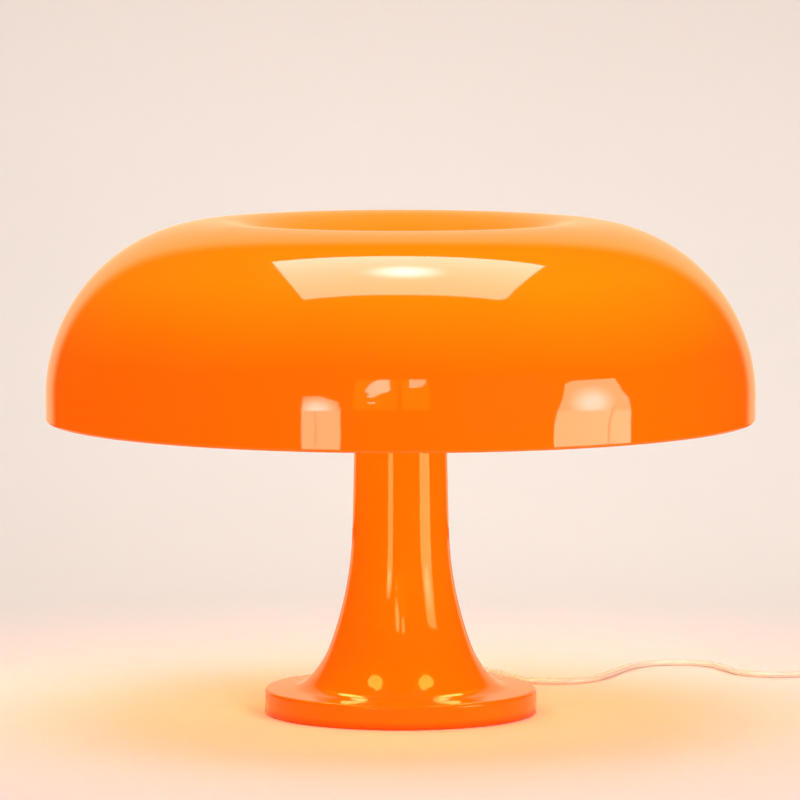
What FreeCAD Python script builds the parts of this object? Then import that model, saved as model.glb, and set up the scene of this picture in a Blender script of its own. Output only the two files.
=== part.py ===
"""Mushroom table lamp: a dished shade on a flared stem, four radial bulbs and a flat mains cord.

Millimetres, +Z up, origin at the middle of the base's underside. The front is -Y and the cord
leaves at the back, +Y.
"""
import FreeCAD, Part
import math
import os

os.makedirs("parts", exist_ok=True)
V = FreeCAD.Vector

# ---------------------------------------------------------------- driving dimensions
# shade
SHADE_R = 160.0           # outer radius of the skirt
LAMP_HEIGHT = 223.0       # floor to crest
DOME_SHARE = 0.49375      # quarter round between skirt and crest, share of the shade's radius
SKIRT_H = 10.8            # upright part above the rim
SHADE_WALL = 3.0
RIM_ROUND = 1.2
DIP_DEPTH = 38.0          # crest to seat
DIP_BEND_R = 28.0         # outer radius of the dip's two bends
DIP_SLOPE = 60.0          # slope of the dip's side, degrees

# stem and base moulding
STEM_R = 20.56            # outer radius at the stem's top
STEM_DRAFT = 1.28         # degrees, wider downwards
MOULDING_WALL = 3.0
FLARE_UPPER_R = 159.6     # hollow curve that leaves the stem
FLARE_LOWER_R = 40.4      # tighter curve below it
FLARE_CHANGE = 20.76      # slope at which one passes into the other, degrees from upright
FLARE_SINK = 7.0          # how far the lower curve would dip under the base's edge
FLARE_FOOT_R = 11.0       # last curve, on to the base's top
BASE_R = 61.6
BASE_EDGE_H = 11.0        # top of the base at its edge
BASE_TOP_SLOPE = 2.0      # degrees, falls outwards
BASE_EDGE_ROUND = 1.5
BASE_BOTTOM_ROUND = 1.2

# underside
FOOT_H = 0.8
FOOT_R = 7.0
COVER_T = 1.6
COVER_GAP = 0.25          # radial, to the moulding
FIXING_INSET = 13.6       # cover screws and feet, in from the base's edge
FIXING_COUNT = 4
SCREW_ANGLE = 45.0        # of the first cover screw
FOOT_ANGLE = 0.0          # of the first foot
BOSS_R = 4.0
SCREW_R = 1.5
SCREW_HEAD_R = 2.9
SCREW_HEAD_EDGE = 0.2     # upright edge under the head's cone
SCREW_HEAD_SHARE = 0.8    # depth of the head, share of the cover's thickness
SCREW_GAP = 0.05
SCREW_END_GAP = 0.3       # under the end of its blind hole
BOSS_END_T = 0.5          # boss left over that hole
BALLAST_GAP = 0.4         # to the moulding, the bosses and the cover
BALLAST_EDGE_GAP = 1.0    # to the rim's wall
BALLAST_NECK = 22.0       # ballast ends this far under the top of the flare

# clamping rod
ROD_R = 5.0
ROD_GAP = 0.3             # in plain holes
THREAD_GAP = 0.05         # in nuts and in the knob's insert
NUT_AF = 15.0
NUT_T = 4.0
WASHER_R = 9.0
WASHER_T = 1.6
NUT_RECESS_R = 11.5
NUT_RECESS_H = 11.0       # from the ballast's underside
ROD_TAIL = 1.5            # rod shown below the lower nut
ROD_ABOVE_SEAT = 14.0

# drum that carries the lampholders
DRUM_R = 30.0
DRUM_H = 40.0
DRUM_WALL = 1.2
LID_T = 1.2
LID_SKIRT_H = 5.0
LID_GAP = 0.1
GASKET_T = 0.8
GASKET_R = 24.0
GASKET_BORE_R = 7.0

# knob
KNOB_R = 16.0
KNOB_H = 18.0
KNOB_CROWN = 2.5
KNOB_TOP_T = 2.2          # skin over the blind bore
KNOB_FLUTES = 12
KNOB_FLUTE_R = 2.6
KNOB_FLUTE_OUT = 0.6      # flutes' centres outside the knob, share of their radius
KNOB_WASHER_T = 1.2
KNOB_WASHER_LIP = 1.0     # washer shown round the knob
INSERT_R = 8.0
INSERT_GAP = 0.02
KNOB_LIFT = 3.0           # three turns of a 1 mm thread

# lampholders and bulbs, along each holder's axis
HOLDER_COUNT = 4
HOLDER_FIRST_ANGLE = 45.0
HOLDER_RISE = 21.0        # axis above the drum's underside
HOLDER_R = 13.5
HOLDER_LENGTH = 36.0
HOLDER_SEAT_GAP = 0.05    # to the drum
HOLDER_BACK_T = 3.0
HOLDER_CHAMBER = 8.0
HOLDER_CHAMBER_R = 10.0
HOLDER_FLOOR_T = 3.0
HOLDER_EDGE_R = 1.5
SHELL_R = 7.15            # inner radius of the brass shell
SHELL_T = 0.4
SHELL_INSET = 2.0
CONTACT_STEM_R = 2.5
CONTACT_HEAD_R = 4.0
CONTACT_HEAD_T = 1.5
CONTACT_TAIL = 1.5        # stem shown in the wiring chamber
NIPPLE_R = 5.0
NIPPLE_BORE_R = 3.5
NIPPLE_INSIDE = 6.0       # reach inside the drum
NIPPLE_IN_CHAMBER = 2.0
HOLDER_NUT_AF = 13.0
HOLDER_NUT_T = 2.5
CAP_R = 6.95
CAP_WALL = 0.35
CAP_TAIL_R = 3.0
CAP_TAIL_L = 3.6
CAP_TAIL_EDGE = 1.0       # upright edge of the tail button
CAP_END_T = 0.4
CAP_RIM_R = 8.0
CAP_RIM_T = 0.8
CAP_RIM_GAP = 0.3         # to the holder's mouth
NECK_R = 6.5
NECK_INSIDE = 6.0         # glass inside the cap
GLASS_T = 0.8
NECK_BEND_R = 14.0
GLOBE_R = 22.5
GLOBE_FROM_HOLDER = 32.4  # globe centre past the holder's mouth
MOUNT_R = 4.6             # clearance round the glass mount, which is half as thick
MOUNT_L = 22.0
MOUNT_GAP = 0.1           # foot of the mount to the neck
MOUNT_FOOT_H = 2.0
MOUNT_TAPER_H = 4.0
FILAMENT_R = 0.9
FILAMENT_ROOT = 1.0       # half the space between its ends
FILAMENT_REACH = 12.0
FILAMENT_RISE = 3.0
FILAMENT_SPREAD = 8.0
FILAMENT_BEND_R = 1.5

# wiring inside the drum
BLOCK_W = 19.0
BLOCK_D = 9.0
BLOCK_H = 8.5
BLOCK_RISE = 5.5          # over the drum's floor
BLOCK_Y = 13.9            # middle of the block
BLOCK_EDGE_R = 1.0
POLE_X = 4.5
POLE_SCREW_R = 1.6
POLE_SCREW_GAP = 0.1
POLE_SCREW_SINK = 0.6
POLE_WELL_DEPTH = 3.0
LEAD_R = 0.8
LEAD_SIDE = 1.8           # leads beside the nipple's axis
LEAD_LEVEL = 1.4          # live above and neutral below that axis
LEAD_BEND_R = 14.0
LEAD_INTO_HOLDER = 5.0
FEED_TURN = 3.0           # feed leads turn outwards this far inside the nipple's end
FEED_BEND_R = 2.0
CORE_BEND_R = 1.0
CORE_STEP = 2.0           # height over which a core spreads to its pole
CORE_SPREAD = 0.6         # of the poles' distance from the middle

# mains cord: two cores side by side, the solids are as thick as it is wide
CORD_R = 2.4
CORD_STEM_Y = 12.5        # where the cord climbs the stem
CORD_CLIMB_R = 19.0
CORD_CHANNEL_GAP = 0.7
CORD_COVER_GAP = 0.2
CORD_HOLE_GAP = 0.5
SHEATH_SHOWN = 1.0        # sheath over the drum's floor
GLAND_GAP = 0.1           # round the cord
GLAND_NECK_R = 3.4
GLAND_COLLAR_R = 4.1
GLAND_COLLAR_T = 2.0
GLAND_SHOULDER = 0.4      # from the collar in to the taper
GLAND_TIP_R = 3.1
GLAND_LENGTH = 22.4       # outside the base

# free cord on the floor, points chosen by hand; the gland's and the switch's ends come from their sizes
CORD_LIE = 2.5            # height of the cord's middle where it lies
LAMP_RUN = [
    (6.0, 122.0), (25.0, 132.0), (45.0, 125.0), (52.0, 105.0), (61.0, 88.0), (82.0, 84.0), (98.0, 97.0),
    (104.0, 121.0), (111.0, 147.0), (130.0, 158.0), (150.0, 150.0), (157.0, 129.0), (166.0, 110.0),
    (186.0, 105.0), (202.0, 118.0), (210.0, 137.0), (230.0, 144.0), (248.0, 134.0)]
LEAD_OUT = 18.0           # first run, square to the gland
SWITCH_X = 254.0
SWITCH_Y = 64.0           # middle of the switch
SWITCH_RUN = 17.0         # runs next to the switch, square to its ends
COIL_RUN = [(257.0, -3.0), (254.0, -21.0)]
COIL_START_Y = -38.0

# put-away coil
COIL_R = 37.5             # outermost turn, to the cord's middle
COIL_PITCH = 5.3
COIL_TURNS = 3.75         # in each of two layers
COIL_CLIMB = 0.5          # part of a turn over which it climbs to the upper layer
COIL_END = 4.8            # straight ends
SPANS_PER_TURN = 4
PLUG_LEVEL_RUN = 12.0     # level cord at both ends of its drop to the plug
PLUG_DROP_RUN = 6.0

# in-line switch
SWITCH_L = 62.0
SWITCH_W = 26.0
SWITCH_SPLIT = 6.5        # parting height, also the cord's height
SWITCH_H = 15.0
SWITCH_WALL = 1.8
SWITCH_CORNER_R = 9.0
SWITCH_EDGE_R = 1.5
SWITCH_PLAY = 0.1         # round the cord
ROCKER_L = 19.0
ROCKER_W = 10.0
ROCKER_GAP = 0.7
ROCKER_TILT = 7.0         # degrees each side of level
ROCKER_PIVOT_Z = 11.0
ROCKER_PIN_R = 1.4
ROCKER_PIN_GAP = 0.08
ROCKER_PROUD = 1.6
ROCKER_DISH = 1.4
ROCKER_SIDE_DROP = 0.5    # side edges, below the pivot
ROCKER_KEEL_DROP = 2.2    # flat underside, below the pivot
ROCKER_KEEL_INSET = 4.0
ROCKER_LUG_T = 2.0
ROCKER_LUG_L = 8.0
ROCKER_LUG_DROP = 3.0     # below the pivot
SWITCH_BOSS_R = 2.8
SWITCH_SCREW_R = 1.2
SWITCH_SCREW_GAP = 0.1
SWITCH_SCREW_HEAD_R = 2.2
SWITCH_SCREW_SINK = 0.3
SWITCH_SCREW_GRIP = 4.0   # above the parting
SWITCH_BOSS_X = 7.6
SWITCH_BOSS_Y = 20.0
CONTACT_H = 3.5
CONTACT_W = 8.0
CONTACT_L = 5.0
CONTACT_Y = 10.5          # middle of each contact, from the switch's middle
BLADE_W = 5.0
BLADE_L = 22.0
BLADE_T = 0.6

# mains plug
PLUG_W = 35.3
PLUG_T = 13.7
PLUG_L = 35.0
PLUG_TAIL_W = 10.0
PLUG_SHOULDER = 0.4       # where it is full width, share of its length
PLUG_ROUND = 3.0
PLUG_PIN_R = 2.0
PLUG_PIN_ROUND = 1.5
PLUG_PIN_GAP = 0.02
PLUG_PIN_L = 19.0
PLUG_PIN_X = 9.3
PLUG_PIN_DEPTH = 8.0
PLUG_RELIEF_L = 16.0
PLUG_RELIEF_TIP_R = 3.1
PLUG_RELIEF_INSET = 0.5   # in from the tail's sides
PLUG_RELIEF_ROOT = 4.0    # reach into the body

# making
PAST = 1.0                # cutting shapes run past what they cut
JOIN = 0.1                # added shapes reach into what they join
RUN_SHARE = 0.45          # most of a run that one bend may take

# ---------------------------------------------------------------- places that follow from them
DOME_R = SHADE_R * DOME_SHARE
CREST_R = SHADE_R - DOME_R
SEAT_TOP = LAMP_HEIGHT - DIP_DEPTH
SEAT_UNDER = SEAT_TOP - SHADE_WALL
RIM_Z = LAMP_HEIGHT - DOME_R - SKIRT_H
LID_TOP = SEAT_UNDER - GASKET_T
DRUM_TOP = LID_TOP - LID_T
STEM_TOP = DRUM_TOP - DRUM_H
HOLDER_Z = STEM_TOP + HOLDER_RISE
HOLDER_BACK = DRUM_R + HOLDER_SEAT_GAP
HOLDER_MOUTH = HOLDER_BACK + HOLDER_LENGTH
HOLDER_FLOOR = HOLDER_BACK + HOLDER_BACK_T + HOLDER_CHAMBER
CONTACT_FACE = HOLDER_FLOOR + HOLDER_FLOOR_T + CONTACT_HEAD_T
GLOBE_X = HOLDER_MOUTH + GLOBE_FROM_HOLDER
HOLDER_STEP = 360.0 / HOLDER_COUNT
HOLDER_ANGLES = [HOLDER_FIRST_ANGLE + HOLDER_STEP * i for i in range(HOLDER_COUNT)]
NECK_START = HOLDER_MOUTH - NECK_INSIDE
FIXING_PCR = BASE_R - FIXING_INSET
COVER_TOP = FOOT_H + COVER_T
BALLAST_Z = COVER_TOP + BALLAST_GAP
NUT_RECESS_TOP = BALLAST_Z + NUT_RECESS_H
EXIT_Z = COVER_TOP + CORD_COVER_GAP + CORD_R
GLAND_TIP_Y = BASE_R + GLAND_LENGTH
KNOB_Z = SEAT_TOP + KNOB_WASHER_T
SWITCH_FIXINGS = [(SWITCH_BOSS_X, SWITCH_BOSS_Y), (-SWITCH_BOSS_X, -SWITCH_BOSS_Y)]
COIL_CENTRE = V(SWITCH_X + COIL_R, COIL_START_Y - COIL_END, 0)
COIL_LEVELS = (CORD_LIE, CORD_LIE + COIL_PITCH)
PLUG_X = COIL_CENTRE.x + COIL_R
PLUG_Z = PLUG_T / 2


# ---------------------------------------------------------------- drawing helpers
def polar(radius, degrees):
    """Point at a radius and angle in a plane, as (across, up)."""
    return radius * math.cos(math.radians(degrees)), radius * math.sin(math.radians(degrees))


def around(centre, radius, degrees):
    """Point on a circle about a centre in the section plane."""
    dx, dz = polar(radius, degrees)
    return centre[0] + dx, centre[1] + dz


def bend(centre, radius, start, end):
    """Arc for an outline: its middle point and its end point."""
    return around(centre, radius, (start + end) / 2), around(centre, radius, end)


def outline_edges(start, steps, place):
    """Edges of a closed outline. A step is a point, or a (middle, end) pair for an arc."""
    edges = []
    here = start
    for step in list(steps) + [start]:
        is_arc = isinstance(step[0], tuple)
        end = step[1] if is_arc else step
        if is_arc:
            edges.append(Part.Arc(place(here), place(step[0]), place(end)).toShape())
        elif math.dist(here, end) > 1e-6:
            edges.append(Part.LineSegment(place(here), place(end)).toShape())
        here = end
    return edges


def turned(start, *steps):
    """Solid of revolution about Z from an outline of (radius, height) points."""
    edges = outline_edges(start, steps, lambda p: V(p[0], 0, p[1]))
    return Part.Face(Part.Wire(edges)).revolve(V(0, 0, 0), V(0, 0, 1), 360)


def extruded(start, steps, bottom, top):
    """Prism along Z from an outline of (x, y) points."""
    edges = outline_edges(start, steps, lambda p: V(p[0], p[1], bottom))
    return Part.Face(Part.Wire(edges)).extrude(V(0, 0, top - bottom))


def cylinder(radius, bottom, top, x=0.0, y=0.0):
    return Part.makeCylinder(radius, top - bottom, V(x, y, bottom))


def ring(inner, outer, bottom, top):
    return cylinder(outer, bottom, top).cut(cylinder(inner, bottom - PAST, top + PAST))


def box(x0, x1, y0, y1, z0, z1):
    return Part.makeBox(x1 - x0, y1 - y0, z1 - z0, V(x0, y0, z0))


def hexagon_nut(across_flats, bore, bottom, thickness):
    corner = across_flats / math.sqrt(3)
    points = [polar(corner, 60 * i) for i in range(6)]
    return extruded(points[0], points[1:], bottom, bottom + thickness).cut(
        cylinder(bore, bottom - PAST, bottom + thickness + PAST))


def along_y(shape, y, z):
    """Turns a shape made about Z so that its axis runs along +Y from (0, y, z)."""
    turned_shape = shape.copy()
    turned_shape.rotate(V(0, 0, 0), V(1, 0, 0), -90)
    turned_shape.translate(V(0, y, z))
    return turned_shape


def at_holder(shape, angle):
    """Turns a shape made about Z so that its axis is a holder's, pointing outwards."""
    placed = shape.copy()
    placed.rotate(V(0, 0, 0), V(0, 1, 0), 90)
    placed.translate(V(0, 0, HOLDER_Z))
    placed.rotate(V(0, 0, 0), V(0, 0, 1), angle)
    return placed


def rounded_plan(width, length, corner):
    """Outline of a rectangle with round corners, as start and steps."""
    x, y, c = width / 2, length / 2, corner
    steps = [
        (x, y - c), bend((x - c, y - c), c, 0, 90),
        (-x + c, y), bend((-x + c, y - c), c, 90, 180),
        (-x, -y + c), bend((-x + c, -y + c), c, 180, 270),
        (x - c, -y), bend((x - c, -y + c), c, 270, 360)]
    return (x, -y + c), steps


def long_edges_at(shape, height):
    """Edges that lie wholly at one height."""
    return [e for e in shape.Edges
            if abs(e.BoundBox.ZMin - height) < 1e-4 and abs(e.BoundBox.ZMax - height) < 1e-4]


# ---------------------------------------------------------------- tubes and wires
def arc_leaving(start, tangent, end):
    """Arc from a point along a tangent to an end point."""
    chord = end - start
    forward = V(chord).normalize()
    side = tangent - forward * tangent.dot(forward)
    if side.Length < 1e-6:
        return Part.LineSegment(start, end).toShape()
    half_turn = math.acos(max(-1.0, min(1.0, tangent.dot(forward))))
    middle = (start + end) * 0.5 + side.normalize() * (chord.Length / 2 * math.tan(half_turn / 2))
    return Part.Arc(start, middle, end).toShape()


def biarc(start, start_tangent, end, end_tangent):
    """Two arcs that join two points with given directions."""
    chord = end - start
    both = start_tangent + end_tangent
    spread = 2 * (1 - start_tangent.dot(end_tangent))
    reach = chord.dot(both)
    if spread < 1e-9:
        handle = chord.dot(chord) / (2 * reach)
    else:
        handle = (-reach + math.sqrt(reach ** 2 + spread * chord.dot(chord))) / spread
    joint = (start + end + (start_tangent - end_tangent) * handle) * 0.5
    first = arc_leaving(start, start_tangent, joint)
    middle_direction = (end - end_tangent * handle) - (start + start_tangent * handle)
    return [first, arc_leaving(joint, middle_direction.normalize(), end)]


def rounded_route(points, radius=None):
    """Straight runs joined by tangent arcs, with the arcs' radii."""
    edges, radii = [], []
    here = points[0]
    for before, corner, after in zip(points, points[1:], points[2:]):
        back = before - corner
        ahead = after - corner
        half_turn = (math.pi - back.getAngle(ahead)) / 2
        room = RUN_SHARE * min(back.Length, ahead.Length)
        reach = room if radius is None else min(room, radius * math.tan(half_turn))
        radii.append(reach / math.tan(half_turn))
        arc_start = corner + V(back).normalize() * reach
        arc_end = corner + V(ahead).normalize() * reach
        edges.append(Part.LineSegment(here, arc_start).toShape())
        edges.append(arc_leaving(arc_start, V(back).normalize() * -1, arc_end))
        here = arc_end
    edges.append(Part.LineSegment(here, points[-1]).toShape())
    return edges, radii


def swept(edges, radius):
    """Round tube along tangent edges."""
    spine = Part.Wire(edges)
    first = edges[0]
    start = first.valueAt(first.FirstParameter)
    direction = first.tangentAt(first.FirstParameter)
    section = Part.Wire(Part.Circle(start, direction, radius).toShape())
    shell = Part.BRepOffsetAPI.MakePipeShell(spine)
    shell.add(section)
    shell.build()
    shell.makeSolid()
    return shell.shape(), spine.Length


def tube(points, radius, bend_radius=None):
    edges, _ = rounded_route(points, bend_radius)
    return swept(edges, radius)[0]


def cord_tube(name, points):
    """Free stretch of the cord, with its radii and its volume against section times length."""
    edges, radii = rounded_route(points)
    solid, length = swept(edges, CORD_R)
    print(name, "bend radii", [round(r, 1) for r in radii])
    print(name, "volume over section times length", round(solid.Volume / (math.pi * CORD_R ** 2 * length), 4))
    return solid


# ---------------------------------------------------------------- shade
def make_shade():
    """Skirt, dome, crest and dip in one wall; both sides share the arcs' centres."""
    dome = (CREST_R, LAMP_HEIGHT - DOME_R)
    lip = (CREST_R, LAMP_HEIGHT - DIP_BEND_R)
    slope_up = 90 + DIP_SLOPE
    fall = DIP_DEPTH - 2 * DIP_BEND_R * (1 - math.cos(math.radians(DIP_SLOPE)))
    run = fall / math.tan(math.radians(DIP_SLOPE))
    lip_end = around(lip, DIP_BEND_R, slope_up)
    bowl_x = lip_end[0] - run - DIP_BEND_R * math.sin(math.radians(DIP_SLOPE))
    bowl = (bowl_x, SEAT_TOP + DIP_BEND_R)
    inner_dome, inner_lip = DOME_R - SHADE_WALL, DIP_BEND_R - SHADE_WALL
    outer_bowl = DIP_BEND_R + SHADE_WALL
    rod_hole = ROD_R + ROD_GAP
    outside, inside = SHADE_R, SHADE_R - SHADE_WALL
    r = RIM_ROUND
    return turned(
        (rod_hole, SEAT_TOP), (bowl[0], SEAT_TOP),
        bend(bowl, DIP_BEND_R, 270, 270 + DIP_SLOPE), lip_end,
        bend(lip, DIP_BEND_R, slope_up, 90), bend(dome, DOME_R, 90, 0),
        (outside, RIM_Z + r), bend((outside - r, RIM_Z + r), r, 0, -90),
        (inside + r, RIM_Z), bend((inside + r, RIM_Z + r), r, -90, -180),
        (inside, dome[1]), bend(dome, inner_dome, 0, 90),
        bend(lip, inner_lip, 90, slope_up), around(bowl, outer_bowl, 270 + DIP_SLOPE),
        bend(bowl, outer_bowl, 270 + DIP_SLOPE, 270), (rod_hole, SEAT_UNDER))


# ---------------------------------------------------------------- stem and base
class Flare:
    """The moulding's side: drafted stem, two hollow curves, a foot curve and the base's top."""

    def __init__(self):
        draft, change = math.radians(STEM_DRAFT), math.radians(FLARE_CHANGE)
        slope = math.radians(BASE_TOP_SLOPE)
        lower_z = BASE_EDGE_H + FLARE_LOWER_R - FLARE_SINK
        step = FLARE_UPPER_R - FLARE_LOWER_R
        self.top_z = lower_z + step * math.sin(change) - FLARE_UPPER_R * math.sin(draft)
        stem_r = STEM_R + (STEM_TOP - self.top_z) * math.tan(draft)
        lower_r = stem_r - step * math.cos(change) + FLARE_UPPER_R * math.cos(draft)
        self.lower = (lower_r, lower_z)
        self.upper = around(self.lower, step, FLARE_CHANGE)
        across, up = math.cos(slope), math.sin(slope)
        from_r = FLARE_FOOT_R * up - lower_r
        from_z = BASE_EDGE_H + BASE_R * math.tan(slope) + FLARE_FOOT_R * across - lower_z
        half = from_r * across - from_z * up
        rest = from_r ** 2 + from_z ** 2 - (FLARE_LOWER_R - FLARE_FOOT_R) ** 2
        t = -half - math.sqrt(half ** 2 - rest)
        self.foot = (lower_r + from_r + t * across, lower_z + from_z - t * up)
        self.foot_turn = math.degrees(math.atan2(lower_z - self.foot[1], lower_r - self.foot[0]))

    def top_at(self, radius, inward):
        """Height of the base's top at a radius."""
        foot_end = around(self.foot, FLARE_FOOT_R + inward, 270 - BASE_TOP_SLOPE)
        return foot_end[1] - (radius - foot_end[0]) * math.tan(math.radians(BASE_TOP_SLOPE))

    def upper_at(self, height, inward):
        """Radius of the upper curve at a height."""
        reach = FLARE_UPPER_R + inward
        return self.upper[0] - math.sqrt(reach ** 2 - (self.upper[1] - height) ** 2)

    def down(self, inward, upper_start=None):
        """Steps from the stem's foot to the base's top; inward moves them into the wall."""
        start = 180 + STEM_DRAFT
        if upper_start is not None:
            start = 180 + math.degrees(math.asin((self.upper[1] - upper_start) / (FLARE_UPPER_R + inward)))
        change = 180 + FLARE_CHANGE
        turn = 180 + self.foot_turn
        return [
            bend(self.upper, FLARE_UPPER_R + inward, start, change),
            bend(self.lower, FLARE_LOWER_R + inward, change, turn),
            bend(self.foot, FLARE_FOOT_R + inward, turn, 270 - BASE_TOP_SLOPE)]

    def stem_point(self, inward):
        return around(self.upper, FLARE_UPPER_R + inward, 180 + STEM_DRAFT)


def reversed_steps(start, steps):
    """The same outline walked backwards, without its first point."""
    points = [start] + [s[1] if isinstance(s[0], tuple) else s for s in steps]
    back = []
    for i in range(len(steps) - 1, -1, -1):
        step = steps[i]
        back.append((step[0], points[i]) if isinstance(step[0], tuple) else points[i])
    return back


FLARE = Flare()


def fixing_places(first_angle):
    return [polar(FIXING_PCR, first_angle + 360.0 * i / FIXING_COUNT) for i in range(FIXING_COUNT)]


def boss_top():
    return FLARE.top_at(FIXING_PCR, 0) - MOULDING_WALL / 2


def make_stem_base():
    """Hollow moulding with bosses for the cover's screws and a hole for the gland."""
    wall = MOULDING_WALL
    side_wall = wall / math.cos(math.radians(STEM_DRAFT))
    edge, low = BASE_EDGE_ROUND, BASE_BOTTOM_ROUND
    edge_c = (BASE_R - edge, FLARE.top_at(BASE_R - edge, 0) - edge / math.cos(math.radians(BASE_TOP_SLOPE)))
    inside_r = BASE_R - wall
    inner_start = FLARE.stem_point(wall)
    inner = FLARE.down(wall)
    body = turned(
        (STEM_R, STEM_TOP), FLARE.stem_point(0), *FLARE.down(0),
        around(edge_c, edge, 90 - BASE_TOP_SLOPE), bend(edge_c, edge, 90 - BASE_TOP_SLOPE, 0),
        (BASE_R, FOOT_H + low), bend((BASE_R - low, FOOT_H + low), low, 0, -90),
        (inside_r, FOOT_H), (inside_r, FLARE.top_at(inside_r, wall)), inner[-1][1],
        *reversed_steps(inner_start, inner), (STEM_R - side_wall, STEM_TOP))
    for x, y in fixing_places(SCREW_ANGLE):
        body = body.fuse(cylinder(BOSS_R, COVER_TOP, boss_top(), x, y))
    for x, y in fixing_places(SCREW_ANGLE):
        body = body.cut(cylinder(SCREW_R + SCREW_GAP, COVER_TOP - PAST, boss_top() - BOSS_END_T, x, y))
    gland_hole = along_y(cylinder(GLAND_NECK_R + SCREW_GAP, -PAST, wall + PAST), inside_r, EXIT_Z)
    return body.cut(gland_hole)


def make_base_cover():
    cover = cylinder(BASE_R - MOULDING_WALL - COVER_GAP, FOOT_H, COVER_TOP)
    for x, y in fixing_places(SCREW_ANGLE):
        cover = cover.cut(countersunk(x, y, SCREW_GAP))
    return cover


def countersunk(x, y, gap):
    """Countersunk screw, or with a gap the hole that it needs in the cover."""
    head = FOOT_H + COVER_T * SCREW_HEAD_SHARE
    end = COVER_TOP + PAST if gap else boss_top() - BOSS_END_T - SCREW_END_GAP
    start = FOOT_H - PAST if gap else FOOT_H
    screw = turned(
        (0, start), (SCREW_HEAD_R + gap, start), (SCREW_HEAD_R + gap, FOOT_H + SCREW_HEAD_EDGE),
        (SCREW_R + gap, head), (SCREW_R + gap, end), (0, end))
    screw.translate(V(x, y, 0))
    return screw


def make_cover_screws():
    return Part.Compound([countersunk(x, y, 0) for x, y in fixing_places(SCREW_ANGLE)])


def make_foot_pads():
    return Part.Compound([cylinder(FOOT_R, 0, FOOT_H, x, y) for x, y in fixing_places(FOOT_ANGLE)])


def make_ballast():
    """Cast weight that follows the flare, with nut recess, cord channel and boss clearances."""
    inward = MOULDING_WALL + BALLAST_GAP
    top = FLARE.top_z - BALLAST_NECK
    bore = ROD_R + ROD_GAP
    edge_r = BASE_R - MOULDING_WALL - BALLAST_EDGE_GAP
    body = turned(
        (bore, BALLAST_Z), (bore, top), (FLARE.upper_at(top, inward), top), *FLARE.down(inward, top),
        (edge_r, FLARE.top_at(edge_r, inward)), (edge_r, BALLAST_Z))
    body = body.cut(cylinder(NUT_RECESS_R, BALLAST_Z - PAST, NUT_RECESS_TOP))
    half = CORD_R + CORD_CHANNEL_GAP
    body = body.cut(box(-half, half, CORD_STEM_Y - half, BASE_R, BALLAST_Z - PAST, top + PAST))
    for x, y in fixing_places(SCREW_ANGLE):
        body = body.cut(cylinder(BOSS_R + BALLAST_GAP, BALLAST_Z - PAST, BASE_EDGE_H + PAST, x, y))
    return body


# ---------------------------------------------------------------- clamping rod, drum and lid
def lower_nut_z():
    return NUT_RECESS_TOP - WASHER_T - NUT_T


def drum_floor_top():
    return STEM_TOP + DRUM_WALL


def make_threaded_rod():
    return cylinder(ROD_R, lower_nut_z() - ROD_TAIL, SEAT_TOP + ROD_ABOVE_SEAT)


def make_rod_nuts():
    upper = drum_floor_top() + WASHER_T
    return Part.Compound([hexagon_nut(NUT_AF, ROD_R + THREAD_GAP, z, NUT_T) for z in (lower_nut_z(), upper)])


def make_rod_washers():
    starts = (NUT_RECESS_TOP - WASHER_T, drum_floor_top())
    return Part.Compound([ring(ROD_R + ROD_GAP, WASHER_R, z, z + WASHER_T) for z in starts])


def make_drum():
    """Open-topped drum with a hole for each nipple, the rod and the cord."""
    outer, inner = DRUM_R, DRUM_R - DRUM_WALL
    body = turned(
        (ROD_R + ROD_GAP, STEM_TOP), (outer, STEM_TOP), (outer, DRUM_TOP), (inner, DRUM_TOP),
        (inner, drum_floor_top()), (ROD_R + ROD_GAP, drum_floor_top()))
    for angle in HOLDER_ANGLES:
        body = body.cut(at_holder(cylinder(NIPPLE_R + SCREW_GAP, inner - PAST, outer + PAST), angle))
    cord_hole = cylinder(CORD_R + CORD_HOLE_GAP, STEM_TOP - PAST, drum_floor_top() + PAST, 0, CORD_STEM_Y)
    return body.cut(cord_hole)


def make_drum_lid():
    """Flat lid whose skirt fits over the drum."""
    inner = DRUM_R + LID_GAP
    outer = inner + LID_T
    return turned(
        (ROD_R + ROD_GAP, DRUM_TOP), (inner, DRUM_TOP), (inner, DRUM_TOP - LID_SKIRT_H),
        (outer, DRUM_TOP - LID_SKIRT_H), (outer, DRUM_TOP), bend((inner, DRUM_TOP), LID_T, 0, 90),
        (ROD_R + ROD_GAP, LID_TOP))


def make_seat_gasket():
    return ring(GASKET_BORE_R, GASKET_R, LID_TOP, SEAT_UNDER)


# ---------------------------------------------------------------- knob
def insert_top():
    return SEAT_TOP + ROD_ABOVE_SEAT + KNOB_LIFT


def make_knob_washer():
    return ring(ROD_R + ROD_GAP, KNOB_R + KNOB_WASHER_LIP, SEAT_TOP, KNOB_Z)


def make_knob_insert():
    return ring(ROD_R + THREAD_GAP, INSERT_R, KNOB_Z, insert_top())


def make_shade_knob():
    """Fluted knob with a crowned top over a blind bore."""
    top = KNOB_Z + KNOB_H
    edge = top - KNOB_CROWN
    crown_r = (KNOB_R ** 2 + KNOB_CROWN ** 2) / (2 * KNOB_CROWN)
    half = math.degrees(math.asin(KNOB_R / crown_r)) / 2
    bore = INSERT_R + INSERT_GAP
    ceiling = min(insert_top(), top - KNOB_TOP_T)
    body = turned(
        (bore, KNOB_Z), (KNOB_R, KNOB_Z), (KNOB_R, edge),
        (around((0, top - crown_r), crown_r, 90 - half), (0, top)), (0, ceiling), (bore, ceiling))
    for i in range(KNOB_FLUTES):
        x, y = polar(KNOB_R + KNOB_FLUTE_R * KNOB_FLUTE_OUT, 360 * i / KNOB_FLUTES)
        body = body.cut(cylinder(KNOB_FLUTE_R, KNOB_Z - PAST, top + PAST, x, y))
    return body


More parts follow.
